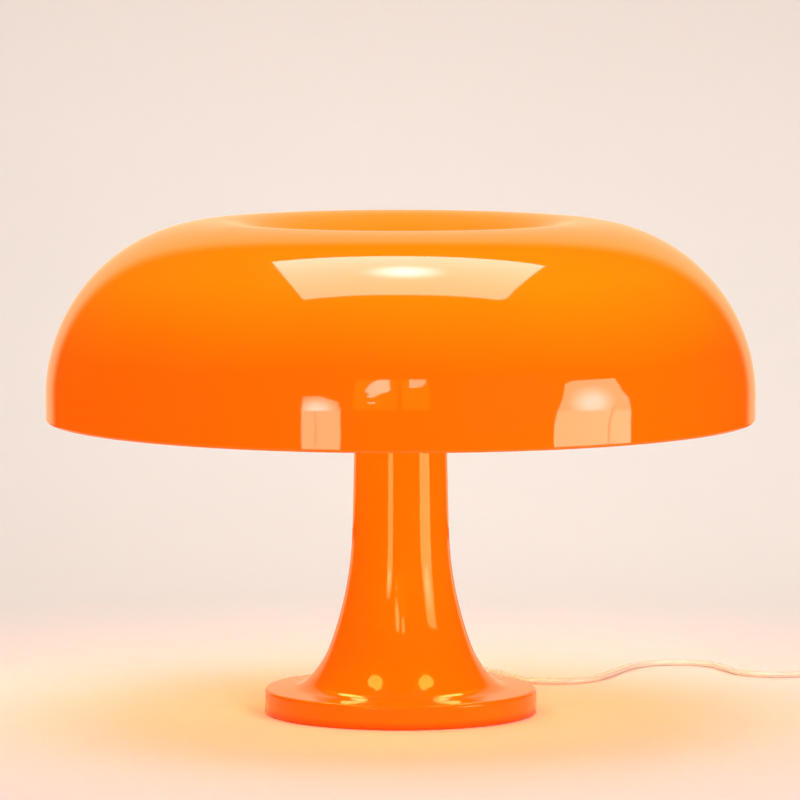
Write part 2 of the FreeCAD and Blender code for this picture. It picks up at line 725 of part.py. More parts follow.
# ---------------------------------------------------------------- lampholders and bulbs
def make_holder_body():
    """Moulded holder: back with the nipple's hole, wiring chamber, floor and mouth."""
    nipple, mouth_bore = NIPPLE_R + SCREW_GAP, SHELL_R + SHELL_T + SCREW_GAP
    chamber = HOLDER_BACK + HOLDER_BACK_T
    pocket = HOLDER_FLOOR + HOLDER_FLOOR_T
    stem = CONTACT_STEM_R + SCREW_GAP
    edge = HOLDER_EDGE_R
    return turned(
        (nipple, HOLDER_BACK), (HOLDER_R - edge, HOLDER_BACK),
        bend((HOLDER_R - edge, HOLDER_BACK + edge), edge, -90, 0), (HOLDER_R, HOLDER_MOUTH - edge),
        bend((HOLDER_R - edge, HOLDER_MOUTH - edge), edge, 0, 90), (mouth_bore, HOLDER_MOUTH),
        (mouth_bore, pocket), (stem, pocket), (stem, HOLDER_FLOOR), (HOLDER_CHAMBER_R, HOLDER_FLOOR),
        (HOLDER_CHAMBER_R, chamber), (nipple, chamber))


def make_holder_shell():
    start = HOLDER_FLOOR + HOLDER_FLOOR_T
    return ring(SHELL_R, SHELL_R + SHELL_T, start, HOLDER_MOUTH - SHELL_INSET)


def make_contact():
    head = CONTACT_FACE - CONTACT_HEAD_T
    tail = HOLDER_FLOOR - CONTACT_TAIL
    return turned(
        (0, tail), (CONTACT_STEM_R, tail), (CONTACT_STEM_R, head),
        (CONTACT_HEAD_R, head), (CONTACT_HEAD_R, CONTACT_FACE), (0, CONTACT_FACE))


def make_nipple():
    end = HOLDER_BACK + HOLDER_BACK_T + NIPPLE_IN_CHAMBER
    return ring(NIPPLE_BORE_R, NIPPLE_R, DRUM_R - NIPPLE_INSIDE, end)


def make_holder_nut():
    corner = HOLDER_NUT_AF / math.sqrt(3)
    seat = math.sqrt((DRUM_R - DRUM_WALL) ** 2 - corner ** 2)
    return hexagon_nut(HOLDER_NUT_AF, NIPPLE_R + THREAD_GAP, seat - HOLDER_NUT_T, HOLDER_NUT_T)


def make_bulb_cap():
    """Screw cap with its tail button, open at the glass."""
    shoulder = CONTACT_FACE + CAP_TAIL_L
    rim = HOLDER_MOUTH + CAP_RIM_GAP
    end = rim + CAP_RIM_T
    inner = CAP_R - CAP_WALL
    return turned(
        (0, CONTACT_FACE), (CAP_TAIL_R, CONTACT_FACE), (CAP_TAIL_R, CONTACT_FACE + CAP_TAIL_EDGE),
        (CAP_R, shoulder), (CAP_R, rim), (CAP_RIM_R, rim), (CAP_RIM_R, end), (inner, end),
        (inner, shoulder + CAP_END_T), (0, shoulder + CAP_END_T))


def neck_bend_x():
    """Where the neck's bend starts so that it meets the globe smoothly."""
    reach = GLOBE_R + NECK_BEND_R
    return GLOBE_X - math.sqrt(reach ** 2 - (NECK_R + NECK_BEND_R) ** 2)


def make_bulb_glass():
    """Thin globe with a neck that ends inside the cap."""
    bend_x = neck_bend_x()
    centre = (NECK_R + NECK_BEND_R, bend_x)
    meet = math.degrees(math.atan2(GLOBE_X - bend_x, -(NECK_R + NECK_BEND_R)))
    on_globe = meet - 180
    inner_bend, inner_globe = NECK_BEND_R + GLASS_T, GLOBE_R - GLASS_T
    globe = (0.0, GLOBE_X)
    return turned(
        (NECK_R, NECK_START), (NECK_R, bend_x), bend(centre, NECK_BEND_R, 180, meet),
        bend(globe, GLOBE_R, on_globe, 90), (0, GLOBE_X + inner_globe),
        bend(globe, inner_globe, 90, on_globe), bend(centre, inner_bend, meet, 180),
        (NECK_R - GLASS_T, NECK_START))


def make_filament():
    """Glass mount with one bent filament on it."""
    foot_r = NECK_R - GLASS_T - MOUNT_GAP
    foot_top = NECK_START + MOUNT_FOOT_H
    tip = NECK_START + MOUNT_L
    mount = turned(
        (0, NECK_START), (foot_r, NECK_START), (foot_r, foot_top), (MOUNT_R / 2, foot_top + MOUNT_TAPER_H),
        (MOUNT_R / 2, tip), (0, tip))
    far = tip + FILAMENT_REACH
    root, wide = FILAMENT_ROOT, FILAMENT_SPREAD
    route = [V(-root, 0, tip), V(-wide, 0, far), V(0, 0, far + FILAMENT_RISE),
             V(wide, 0, far), V(root, 0, tip)]
    wire = tube(route, FILAMENT_R, FILAMENT_BEND_R)
    return mount, wire.cut(cylinder(MOUNT_R, NECK_START, tip))


# ---------------------------------------------------------------- wiring
def lead_side_point(reach, side, angle, level):
    """Point beside a holder's axis."""
    out, across = V(*polar(1, angle), 0), V(*polar(1, angle + 90), 0)
    return out * reach + across * side + V(0, 0, HOLDER_Z + level)


def loop_lead(angle, next_angle, level):
    """Lead from one holder to the next, round the rod."""
    reach = HOLDER_BACK + LEAD_INTO_HOLDER
    start = lead_side_point(reach, LEAD_SIDE, angle, level)
    end = lead_side_point(reach, -LEAD_SIDE, next_angle, level)
    corner_r = LEAD_SIDE / math.cos(math.radians(HOLDER_STEP / 2))
    corner = V(*polar(corner_r, (angle + next_angle) / 2), HOLDER_Z + level)
    return tube([start, corner, end], LEAD_R, LEAD_BEND_R)


def feed_lead(pole_x, angle, side, level):
    """Lead from the block's top into the holder beside it."""
    top = block_bottom() + BLOCK_H
    rise = V(pole_x, BLOCK_Y, HOLDER_Z + level)
    inward = lead_side_point(DRUM_R - NIPPLE_INSIDE - FEED_TURN, side, angle, level)
    end = lead_side_point(HOLDER_BACK + LEAD_INTO_HOLDER, side, angle, level)
    return tube([V(pole_x, BLOCK_Y, top), rise, inward, end], LEAD_R, FEED_BEND_R)


def core(pole_x):
    """Core from the cord's end into the block."""
    side = math.copysign(CORD_R / 2, pole_x)
    pole = pole_x * CORE_SPREAD
    middle = (sheath_end() + block_bottom()) / 2
    route = [V(side, CORD_STEM_Y, sheath_end()), V(side, CORD_STEM_Y, middle - CORE_STEP / 2),
             V(pole, BLOCK_Y, middle + CORE_STEP / 2), V(pole, BLOCK_Y, block_bottom())]
    return tube(route, LEAD_R, CORE_BEND_R)


def block_bottom():
    return drum_floor_top() + BLOCK_RISE


def sheath_end():
    return drum_floor_top() + SHEATH_SHOWN


def make_leads(level, feed_angle, feed_side, pole_x):
    ring_angles = HOLDER_ANGLES[1:] + HOLDER_ANGLES[:1]
    loops = [loop_lead(a, a + HOLDER_STEP, level) for a in ring_angles[:-1]]
    return Part.Compound([core(pole_x), feed_lead(pole_x, feed_angle, feed_side, level)] + loops)


def make_terminal_block():
    """Two-pole block with a well for each screw."""
    block = box(-BLOCK_W / 2, BLOCK_W / 2, BLOCK_Y - BLOCK_D / 2, BLOCK_Y + BLOCK_D / 2,
                block_bottom(), block_bottom() + BLOCK_H)
    block = block.makeFillet(BLOCK_EDGE_R, [e for e in block.Edges if e.BoundBox.ZLength > BLOCK_H / 2])
    for well in pole_cylinders(POLE_SCREW_R + POLE_SCREW_GAP, POLE_WELL_DEPTH + PAST):
        block = block.cut(well)
    return block


def pole_cylinders(radius, length):
    """One cylinder for each pole, from the bottom of its well outwards."""
    bottom = BLOCK_Y + BLOCK_D / 2 - POLE_WELL_DEPTH
    return [along_y(cylinder(radius, 0, length, x), bottom, block_bottom() + BLOCK_H / 2)
            for x in (-POLE_X, POLE_X)]


def make_terminal_screws():
    return Part.Compound(pole_cylinders(POLE_SCREW_R, POLE_WELL_DEPTH - POLE_SCREW_SINK))


# ---------------------------------------------------------------- cord and its gland
def make_gland():
    """Tapered strain relief: neck in the base's wall, collar and taper outside."""
    bore = CORD_R + GLAND_GAP
    wall = MOULDING_WALL
    body = turned(
        (bore, 0), (GLAND_NECK_R, 0), (GLAND_NECK_R, wall), (GLAND_COLLAR_R, wall),
        (GLAND_COLLAR_R, wall + GLAND_COLLAR_T), (GLAND_COLLAR_R - GLAND_SHOULDER, wall + GLAND_COLLAR_T),
        (GLAND_TIP_R, wall + GLAND_LENGTH), (bore, wall + GLAND_LENGTH))
    return along_y(body, BASE_R - wall, EXIT_Z)


def make_cord_inside():
    """Cord from the gland's tip through the ballast's channel and up beside the rod."""
    points = [V(0, GLAND_TIP_Y, EXIT_Z), V(0, CORD_STEM_Y, EXIT_Z), V(0, CORD_STEM_Y, sheath_end())]
    return tube(points, CORD_R, CORD_CLIMB_R)


def lamp_run_points():
    start = [V(0, GLAND_TIP_Y, EXIT_Z), V(0, GLAND_TIP_Y + LEAD_OUT, EXIT_Z)]
    near_switch = SWITCH_Y + SWITCH_L / 2
    end = [V(SWITCH_X, near_switch + SWITCH_RUN, SWITCH_SPLIT), V(SWITCH_X, near_switch, SWITCH_SPLIT)]
    return start + [V(x, y, CORD_LIE) for x, y in LAMP_RUN] + end


def coil_run_points():
    near_switch = SWITCH_Y - SWITCH_L / 2
    start = [V(SWITCH_X, near_switch, SWITCH_SPLIT), V(SWITCH_X, near_switch - SWITCH_RUN, SWITCH_SPLIT)]
    return start + [V(x, y, CORD_LIE) for x, y in COIL_RUN] + [V(SWITCH_X, COIL_START_Y, CORD_LIE)]


def coil_radius(turns):
    return COIL_R - COIL_PITCH * (turns if turns < COIL_TURNS else 2 * COIL_TURNS - turns)


def coil_height(turns):
    """The lower layer, a climb where the spiral reverses, then the upper layer."""
    share = max(0.0, min(1.0, (turns - COIL_TURNS) / COIL_CLIMB + 0.5))
    return COIL_LEVELS[0] + COIL_PITCH * share * share * (3 - 2 * share)


def coil_point(turns):
    x, y = polar(coil_radius(turns), 180 + 360 * turns)
    return COIL_CENTRE + V(x, y, coil_height(turns))


def coil_edges():
    """One unbroken path: straight end, two spirals of biarcs, straight end."""
    count = round(2 * COIL_TURNS * SPANS_PER_TURN)
    small = 1e-4
    total = 2 * COIL_TURNS
    points = [coil_point(total * i / count) for i in range(count + 1)]
    tangents = [(coil_point(total * i / count + small) - coil_point(total * i / count - small)).normalize()
                for i in range(count + 1)]
    tangents[0] = V(0, -1, 0)
    tangents[-1] = V(0, 1, 0)
    edges = [Part.LineSegment(points[0] - tangents[0] * COIL_END, points[0]).toShape()]
    for i in range(count):
        edges += biarc(points[i], tangents[i], points[i + 1], tangents[i + 1])
    edges.append(Part.LineSegment(points[-1], points[-1] + tangents[-1] * COIL_END).toShape())
    return edges


def least_gap(edges):
    """Smallest space between one stretch of the coil and another, measured on points."""
    points, places, length = [], [], 0.0
    for edge in edges:
        for point in edge.discretize(Distance=2.0)[:-1]:
            points.append(point)
            places.append(length + edge.Length * 0.5)
        length += edge.Length
    best = 1e9
    apart = 4 * math.pi * CORD_R
    for i, first in enumerate(points):
        for j in range(i + 1, len(points)):
            if places[j] - places[i] > apart:
                best = min(best, first.distanceToPoint(points[j]))
    return best - 2 * CORD_R


def make_cord_coil():
    edges = coil_edges()
    solid, length = swept(edges, CORD_R)
    print("coil least gap", round(least_gap(edges), 3), "length", round(length, 1))
    print("coil volume over section times length", round(solid.Volume / (math.pi * CORD_R ** 2 * length), 4))
    return solid


def coil_exit():
    return V(PLUG_X, COIL_CENTRE.y + COIL_END, COIL_LEVELS[1])


def plug_back_y():
    return coil_exit().y + 2 * PLUG_LEVEL_RUN + PLUG_DROP_RUN


def tail_points():
    start = coil_exit()
    back = plug_back_y()
    return [start, start + V(0, PLUG_LEVEL_RUN, 0), V(PLUG_X, back - PLUG_LEVEL_RUN, PLUG_Z),
            V(PLUG_X, back, PLUG_Z)]


# ---------------------------------------------------------------- in-line switch
def placed_switch(shape):
    shape = shape.copy()
    shape.translate(V(SWITCH_X, SWITCH_Y, 0))
    return shape


def switch_block(shrink, bottom, top):
    start, steps = rounded_plan(SWITCH_W - 2 * shrink, SWITCH_L - 2 * shrink, SWITCH_CORNER_R - shrink)
    return extruded(start, steps, bottom, top)


def cord_way():
    return along_y(cylinder(CORD_R + SWITCH_PLAY, -PAST, SWITCH_L + PAST), -SWITCH_L / 2, SWITCH_SPLIT)


def make_switch_lower():
    body = switch_block(0, 0, SWITCH_SPLIT)
    body = body.makeFillet(SWITCH_EDGE_R, long_edges_at(body, 0))
    body = body.cut(switch_block(SWITCH_WALL, SWITCH_WALL, SWITCH_SPLIT + PAST)).cut(cord_way())
    for x, y in SWITCH_FIXINGS:
        body = body.cut(cylinder(SWITCH_SCREW_R + SWITCH_SCREW_GAP, -PAST, SWITCH_WALL + PAST, x, y))
        body = body.cut(cylinder(SWITCH_SCREW_HEAD_R + SWITCH_SCREW_GAP, -PAST, SWITCH_WALL / 2, x, y))
    return placed_switch(body)


def make_switch_upper():
    """Upper half: window for the rocker, lugs for its pin and bosses for the screws."""
    roof = SWITCH_H - SWITCH_WALL
    body = switch_block(0, SWITCH_SPLIT, SWITCH_H)
    body = body.makeFillet(SWITCH_EDGE_R, long_edges_at(body, SWITCH_H))
    body = body.cut(switch_block(SWITCH_WALL, SWITCH_SPLIT - PAST, roof))
    half_w, half_l = ROCKER_W / 2 + ROCKER_GAP / 2, ROCKER_L / 2 + ROCKER_GAP
    for side in (-1, 1):
        faces = sorted((side * half_w, side * (half_w + ROCKER_LUG_T)))
        body = body.fuse(box(*faces, -ROCKER_LUG_L / 2, ROCKER_LUG_L / 2, ROCKER_PIVOT_Z - ROCKER_LUG_DROP,
                             roof + JOIN))
    for x, y in SWITCH_FIXINGS:
        body = body.fuse(cylinder(SWITCH_BOSS_R, SWITCH_WALL, roof + JOIN, x, y))
    pin_hole = cylinder(ROCKER_PIN_R + ROCKER_PIN_GAP, -half_w - 2 * ROCKER_LUG_T, half_w + 2 * ROCKER_LUG_T)
    pin_hole.rotate(V(0, 0, 0), V(0, 1, 0), 90)
    pin_hole.translate(V(0, 0, ROCKER_PIVOT_Z))
    window = box(-half_w, half_w, -half_l, half_l, roof - PAST, SWITCH_H + PAST)
    body = body.cut(pin_hole).cut(window).cut(cord_way())
    for x, y in SWITCH_FIXINGS:
        body = body.cut(cylinder(SWITCH_SCREW_R + THREAD_GAP, 0, roof - PAST, x, y))
    return placed_switch(body)


def make_switch_rocker():
    """Dished rocker with its pin, made level and then tilted to its on position."""
    top = SWITCH_H + ROCKER_PROUD - ROCKER_PIVOT_Z
    half = ROCKER_L / 2
    keel = half - ROCKER_KEEL_INSET
    sag_r = (half ** 2 + ROCKER_DISH ** 2) / (2 * ROCKER_DISH)
    angle = math.degrees(math.asin(half / sag_r))
    centre = (0, top - ROCKER_DISH + sag_r)
    steps = [bend(centre, sag_r, 270 - angle, 270 + angle), (half, -ROCKER_SIDE_DROP),
             (keel, -ROCKER_KEEL_DROP), (-keel, -ROCKER_KEEL_DROP), (-half, -ROCKER_SIDE_DROP)]
    edges = outline_edges((-half, top), steps, lambda p: V(0, p[0], p[1]))
    body = Part.Face(Part.Wire(edges)).extrude(V(ROCKER_W, 0, 0))
    body.translate(V(-ROCKER_W / 2, 0, 0))
    reach = ROCKER_W / 2 + ROCKER_GAP / 2 + ROCKER_LUG_T
    pin = cylinder(ROCKER_PIN_R, -reach, reach)
    pin.rotate(V(0, 0, 0), V(0, 1, 0), 90)
    body = body.fuse(pin)
    body.rotate(V(0, 0, 0), V(1, 0, 0), -ROCKER_TILT)
    body.translate(V(0, 0, ROCKER_PIVOT_Z))
    return placed_switch(body)


def make_switch_screws():
    screws = []
    for x, y in SWITCH_FIXINGS:
        screws.append(cylinder(SWITCH_SCREW_HEAD_R, SWITCH_SCREW_SINK, SWITCH_WALL / 2, x, y).fuse(
            cylinder(SWITCH_SCREW_R, SWITCH_SCREW_SINK, SWITCH_SPLIT + SWITCH_SCREW_GRIP, x, y)))
    return placed_switch(Part.Compound(screws))


def make_switch_contacts():
    """Two fixed contacts on the floor and the blade that bridges them."""
    half_w, low, top = CONTACT_W / 2, SWITCH_WALL, SWITCH_WALL + CONTACT_H
    parts = [box(-half_w, half_w, y - CONTACT_L / 2, y + CONTACT_L / 2, low, top)
             for y in (CONTACT_Y, -CONTACT_Y)]
    parts.append(box(-BLADE_W / 2, BLADE_W / 2, -BLADE_L / 2, BLADE_L / 2, top, top + BLADE_T))
    return placed_switch(Part.Compound(parts))


# ---------------------------------------------------------------- plug
def make_plug_body():
    """Flat moulded plug that narrows to a tapered strain relief."""
    half, tail = PLUG_W / 2, PLUG_TAIL_W / 2
    shoulder = PLUG_L * PLUG_SHOULDER
    root = PLUG_RELIEF_L + PLUG_RELIEF_ROOT
    points = [(half, PLUG_L), (-half, PLUG_L), (-half, shoulder), (-tail, 0), (tail, 0)]
    body = extruded((half, shoulder), points, 0, PLUG_T)
    body = body.makeFillet(PLUG_ROUND, body.Edges)
    relief = turned((0, 0), (PLUG_RELIEF_TIP_R, 0), (tail - PLUG_RELIEF_INSET, root), (0, root))
    body.translate(V(0, PLUG_RELIEF_L, 0))
    body = body.fuse(along_y(relief, 0, PLUG_Z))
    for side in (-1, 1):
        hole = along_y(cylinder(PLUG_PIN_R + PLUG_PIN_GAP, 0, PLUG_PIN_DEPTH + PAST), 0, PLUG_Z)
        hole.translate(V(side * PLUG_PIN_X, PLUG_RELIEF_L + PLUG_L - PLUG_PIN_DEPTH, 0))
        body = body.cut(hole)
    body.translate(V(PLUG_X, plug_back_y(), 0))
    return body


def make_plug_pins():
    pins = []
    front = plug_back_y() + PLUG_RELIEF_L + PLUG_L
    length = PLUG_PIN_DEPTH + PLUG_PIN_L
    r = PLUG_PIN_ROUND
    for side in (-1, 1):
        pin = turned((0, 0), (PLUG_PIN_R, 0), (PLUG_PIN_R, length - r),
                     bend((PLUG_PIN_R - r, length - r), r, 0, 90), (0, length))
        pin = along_y(pin, front - PLUG_PIN_DEPTH, PLUG_Z)
        pin.translate(V(PLUG_X + side * PLUG_PIN_X, 0, 0))
        pins.append(pin)
    return Part.Compound(pins)


# ---------------------------------------------------------------- all nodes
def build():
    nodes = {
        "shade": make_shade(),
        "stem_base": make_stem_base(),
        "base_cover": make_base_cover(),
        "cover_screws": make_cover_screws(),
        "foot_pads": make_foot_pads(),
        "ballast": make_ballast(),
        "threaded_rod": make_threaded_rod(),
        "rod_nuts": make_rod_nuts(),
        "rod_washers": make_rod_washers(),
        "lampholder_drum": make_drum(),
        "drum_lid": make_drum_lid(),
        "seat_gasket": make_seat_gasket(),
        "knob_washer": make_knob_washer(),
        "shade_knob": make_shade_knob(),
        "knob_insert": make_knob_insert(),
        "terminal_block": make_terminal_block(),
        "terminal_screws": make_terminal_screws(),
        "leads_live": make_leads(LEAD_LEVEL, HOLDER_ANGLES[1], -LEAD_SIDE, -POLE_X),
        "leads_neutral": make_leads(-LEAD_LEVEL, HOLDER_ANGLES[0], LEAD_SIDE, POLE_X),
        "cord_gland": make_gland(),
        "cord_inside": make_cord_inside(),
        "cord_to_switch": cord_tube("cord_to_switch", lamp_run_points()),
        "cord_to_coil": cord_tube("cord_to_coil", coil_run_points()),
        "cord_coil": make_cord_coil(),
        "cord_to_plug": cord_tube("cord_to_plug", tail_points()),
        "switch_lower": make_switch_lower(),
        "switch_upper": make_switch_upper(),
        "switch_rocker": make_switch_rocker(),
        "switch_screws": make_switch_screws(),
        "switch_contacts": make_switch_contacts(),
        "plug_body": make_plug_body(),
        "plug_pins": make_plug_pins(),
    }
    repeated = {
        "lampholder_body": make_holder_body(),
        "lampholder_shell": make_holder_shell(),
        "bulb_cap": make_bulb_cap(),
        "bulb_glass": make_bulb_glass(),
    }
    for name, shape in repeated.items():
        for i, angle in enumerate(HOLDER_ANGLES, 1):
            nodes[f"{name}_{i}"] = at_holder(shape, angle)
    mount, filament = make_filament()
    grouped = {
        "centre_contacts": make_contact(),
        "holder_nipples": make_nipple(),
        "holder_nuts": make_holder_nut(),
        "filament_mounts": mount,
        "filaments": filament,
    }
    for name, shape in grouped.items():
        nodes[name] = Part.Compound([at_holder(shape, a) for a in HOLDER_ANGLES])
    return nodes


for node, shape in build().items():
    shape.exportStep(f"parts/{node}.step")
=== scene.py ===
"""Looks of a lit mushroom table lamp: glossy orange shade and stem, warm bulbs, clear flat cord.

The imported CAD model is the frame, in metres, +Z up, with the front at -Y. The turned outlines and
the cord's section are in millimetres, as on a drawing, and become metres in lathe and sweep. All
other lengths are in metres, and angles are in degrees unless a line turns them into radians.
"""

import math

import bpy
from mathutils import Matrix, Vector


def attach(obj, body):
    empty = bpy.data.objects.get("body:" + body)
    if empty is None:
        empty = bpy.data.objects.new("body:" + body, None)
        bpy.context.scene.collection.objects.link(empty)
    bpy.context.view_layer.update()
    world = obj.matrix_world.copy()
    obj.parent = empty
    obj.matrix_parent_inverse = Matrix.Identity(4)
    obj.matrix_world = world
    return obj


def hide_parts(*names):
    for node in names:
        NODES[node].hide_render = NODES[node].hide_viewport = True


MM = 0.001

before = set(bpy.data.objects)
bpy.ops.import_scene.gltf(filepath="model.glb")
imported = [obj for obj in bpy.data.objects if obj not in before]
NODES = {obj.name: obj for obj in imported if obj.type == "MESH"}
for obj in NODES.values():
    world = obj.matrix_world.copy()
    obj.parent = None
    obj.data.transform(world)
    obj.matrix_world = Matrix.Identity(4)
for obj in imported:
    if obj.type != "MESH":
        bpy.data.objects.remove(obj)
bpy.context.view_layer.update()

# ---------------------------------------------------------------- turned pieces, as in the CAD
SHADE_R = 160.0
LAMP_HEIGHT = 223.0
DOME_R = 79.0
SKIRT_H = 10.8
SHADE_WALL = 3.0
RIM_ROUND = 1.2
DIP_DEPTH = 38.0
DIP_BEND_R = 28.0
DIP_SLOPE = 60.0
ROD_HOLE_R = 5.3
STEM_TOP = 140.0
STEM_R = 20.56
STEM_DRAFT = 1.28
MOULDING_WALL = 3.0
FLARE_UPPER_R = 159.6
FLARE_LOWER_R = 40.4
FLARE_CHANGE = 20.76
FLARE_SINK = 7.0
FLARE_FOOT_R = 11.0
BASE_R = 61.6
BASE_EDGE_H = 11.0
BASE_TOP_SLOPE = 2.0
BASE_EDGE_ROUND = 1.5

# These two differ from the CAD model, which has 0.8 and 1.2: the visible moulding reaches nearer
# to the floor, so that no dark gap shows under it.
FOOT_H = 0.25
BASE_BOTTOM_ROUND = 0.5

# ---------------------------------------------------------------- facets
ARC_SPACING = 0.9         # between points along an arc, millimetres
FOOT_SPACING = 0.5        # the same on the flare's last curve
ROUND_SPACING = 0.3       # the same on the rounds of rim and base
ARC_LEAST = 4             # least number of steps in an arc
BESIDE_ROUND = 0.2        # an extra point this far beside a round, so that the wall shades flat
BESIDE_TOP_ROUND = 0.3    # the same on the base's top
SAME_POINT = 1e-4         # points nearer than this are one, millimetres
SHADE_STEPS = 320         # round the axis
MOULDING_STEPS = 240
SMOOTH_BELOW = 35.0       # faces that meet at less than this shade as one
CORD_SMOOTH_BELOW = 60.0

# ---------------------------------------------------------------- cord
CORD_LOBE_R = 1.3         # section: radius of each half's insulation
CORD_LOBE_X = 1.1         # its centre, and the conductor's, from the middle
CORD_LOBE_TURN = 120      # how far round its outside goes, each way
CORD_LOBE_STEP = 24
CORD_WAIST = 0.76         # half thickness between the halves, share of their radius
WIRE_R = 0.55
WIRE_SIDES = 8
CORD_RESOLUTION = 10      # steps between two points of a route
LIE = 0.00145             # middle of the flat cord where it lies
LAMP_ROUTE = [            # given as waves that look like those in the photograph
    (0.000, 0.084, 0.0050), (0.000, 0.102, 0.0042), (0.002, 0.119, LIE), (0.015, 0.132, LIE),
    (0.033, 0.1335, LIE), (0.046, 0.122, LIE), (0.050, 0.107, LIE), (0.058, 0.093, LIE),
    (0.073, 0.088, LIE), (0.088, 0.094, LIE), (0.097, 0.110, LIE), (0.107, 0.138, LIE),
    (0.117, 0.153, LIE), (0.133, 0.158, LIE), (0.149, 0.151, LIE), (0.155, 0.134, LIE),
    (0.160, 0.1195, LIE), (0.175, 0.111, LIE), (0.192, 0.116, LIE), (0.201, 0.131, LIE),
    (0.211, 0.144, LIE), (0.230, 0.147, LIE), (0.247, 0.137, LIE), (0.254, 0.112, 0.0065),
    (0.254, 0.095, 0.0065)]
SWITCH_END = (0.254, 0.033, 0.0065)
COIL_RUN = [
    SWITCH_END, (0.254, 0.016, 0.0065), (0.257, -0.003, LIE), (0.254, -0.021, LIE),
    (0.254, -0.038, LIE)]
COIL_CENTRE = (0.2915, -0.0428)
COIL_R = 0.0378
COIL_PITCH = 0.0053
COIL_TURNS = 3.75         # in each of two layers
COIL_LAYER = 0.0030       # from the lower layer's middle to the upper layer's
COIL_CLIMB = 0.5          # part of a turn over which it climbs from one to the other
COIL_POINTS_PER_TURN = 16
PLUG_RUN = [
    (0.329, -0.033, LIE + COIL_LAYER), (0.329, -0.024, 0.0062), (0.329, -0.017, 0.00685),
    (0.329, -0.008, 0.00685)]

# ---------------------------------------------------------------- camera, fitted to the photograph
CAMERA_PLACE = (-0.0003, -2.6805, 0.3811)
CAMERA_TILT = 84.897      # from straight down
CAMERA_LENS = 268.27      # millimetres
CAMERA_SENSOR = 36.0      # millimetres
CAMERA_NEAR, CAMERA_FAR = 0.05, 60.0


def make_camera():
    data = bpy.data.cameras.new("camera")
    data.lens = CAMERA_LENS
    data.sensor_width = CAMERA_SENSOR
    data.clip_start = CAMERA_NEAR
    data.clip_end = CAMERA_FAR
    camera = bpy.data.objects.new("camera", data)
    camera.location = CAMERA_PLACE
    camera.rotation_euler = (math.radians(CAMERA_TILT), 0.0, 0.0)
    bpy.context.scene.collection.objects.link(camera)
    bpy.context.scene.camera = camera


# ---------------------------------------------------------------- mesh helpers
def add_mesh(name, points, faces, smooth_below=SMOOTH_BELOW):
    """A mesh object that shades smoothly where two faces meet at less than an angle."""
    mesh = bpy.data.meshes.new(name)
    mesh.from_pydata(points, [], faces)
    mesh.update()
    mesh.shade_smooth()
    mesh.set_sharp_from_angle(angle=math.radians(smooth_below))
    piece = bpy.data.objects.new(name, mesh)
    bpy.context.scene.collection.objects.link(piece)
    return piece


def dress(piece, material, body, slot, *nodes):
    """A piece's material, body and the CAD nodes that it replaces, if any; slot is not used."""
    piece.data.materials.append(material)
    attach(piece, body)
    if nodes:
        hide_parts(*nodes)


def on_circle(centre, radius, degrees):
    turn = math.radians(degrees)
    return centre[0] + radius * math.cos(turn), centre[1] + radius * math.sin(turn)


def arc(centre, radius, start, end, spacing=ARC_SPACING):
    """Points of an arc in the section plane, about a spacing apart."""
    count = max(ARC_LEAST, round(abs(math.radians(end - start)) * radius / spacing))
    return [on_circle(centre, radius, start + (end - start) * i / count) for i in range(count + 1)]


def lathe(name, outline, steps):
    """A closed outline of (radius, height) points in millimetres, turned about Z."""
    clean = []
    for point in outline:
        if not clean or math.dist(point, clean[-1]) > SAME_POINT:
            clean.append(point)
    if math.dist(clean[0], clean[-1]) < SAME_POINT:
        clean.pop()
    points = []
    for i in range(steps):
        turn = 2 * math.pi * i / steps
        points += [(r * math.cos(turn) * MM, r * math.sin(turn) * MM, z * MM) for r, z in clean]
    faces = []
    count = len(clean)
    for i in range(steps):
        here, there = i * count, (i + 1) % steps * count
        for j in range(count):
            k = (j + 1) % count
            faces.append((here + j, here + k, there + k, there + j))
    return add_mesh(name, points, faces)


# ---------------------------------------------------------------- shade and moulding
def shade_outline():
    """Seat, dip, crest, dome and skirt on the outside, then back along the inside."""
    crest_r = SHADE_R - DOME_R
    seat = LAMP_HEIGHT - DIP_DEPTH
    rim = LAMP_HEIGHT - DOME_R - SKIRT_H
    dome = (crest_r, LAMP_HEIGHT - DOME_R)
    lip = (crest_r, LAMP_HEIGHT - DIP_BEND_R)
    slope = math.radians(DIP_SLOPE)
    fall = DIP_DEPTH - 2 * DIP_BEND_R * (1 - math.cos(slope))
    lip_end = on_circle(lip, DIP_BEND_R, 90 + DIP_SLOPE)
    bowl_r = lip_end[0] - fall / math.tan(slope) - DIP_BEND_R * math.sin(slope)
    bowl = (bowl_r, seat + DIP_BEND_R)
    inner_r = SHADE_R - SHADE_WALL
    r = RIM_ROUND
    return [
        (ROD_HOLE_R, seat),
        *arc(bowl, DIP_BEND_R, 270, 270 + DIP_SLOPE),
        *arc(lip, DIP_BEND_R, 90 + DIP_SLOPE, 90),
        *arc(dome, DOME_R, 90, 0),
        (SHADE_R, rim + r + BESIDE_ROUND),
        *arc((SHADE_R - r, rim + r), r, 0, -90, ROUND_SPACING),
        *arc((inner_r + r, rim + r), r, -90, -180, ROUND_SPACING),
        *arc(dome, DOME_R - SHADE_WALL, 0, 90),
        *arc(lip, DIP_BEND_R - SHADE_WALL, 90, 90 + DIP_SLOPE),
        *arc(bowl, DIP_BEND_R + SHADE_WALL, 270 + DIP_SLOPE, 270),
        (ROD_HOLE_R, seat - SHADE_WALL)]


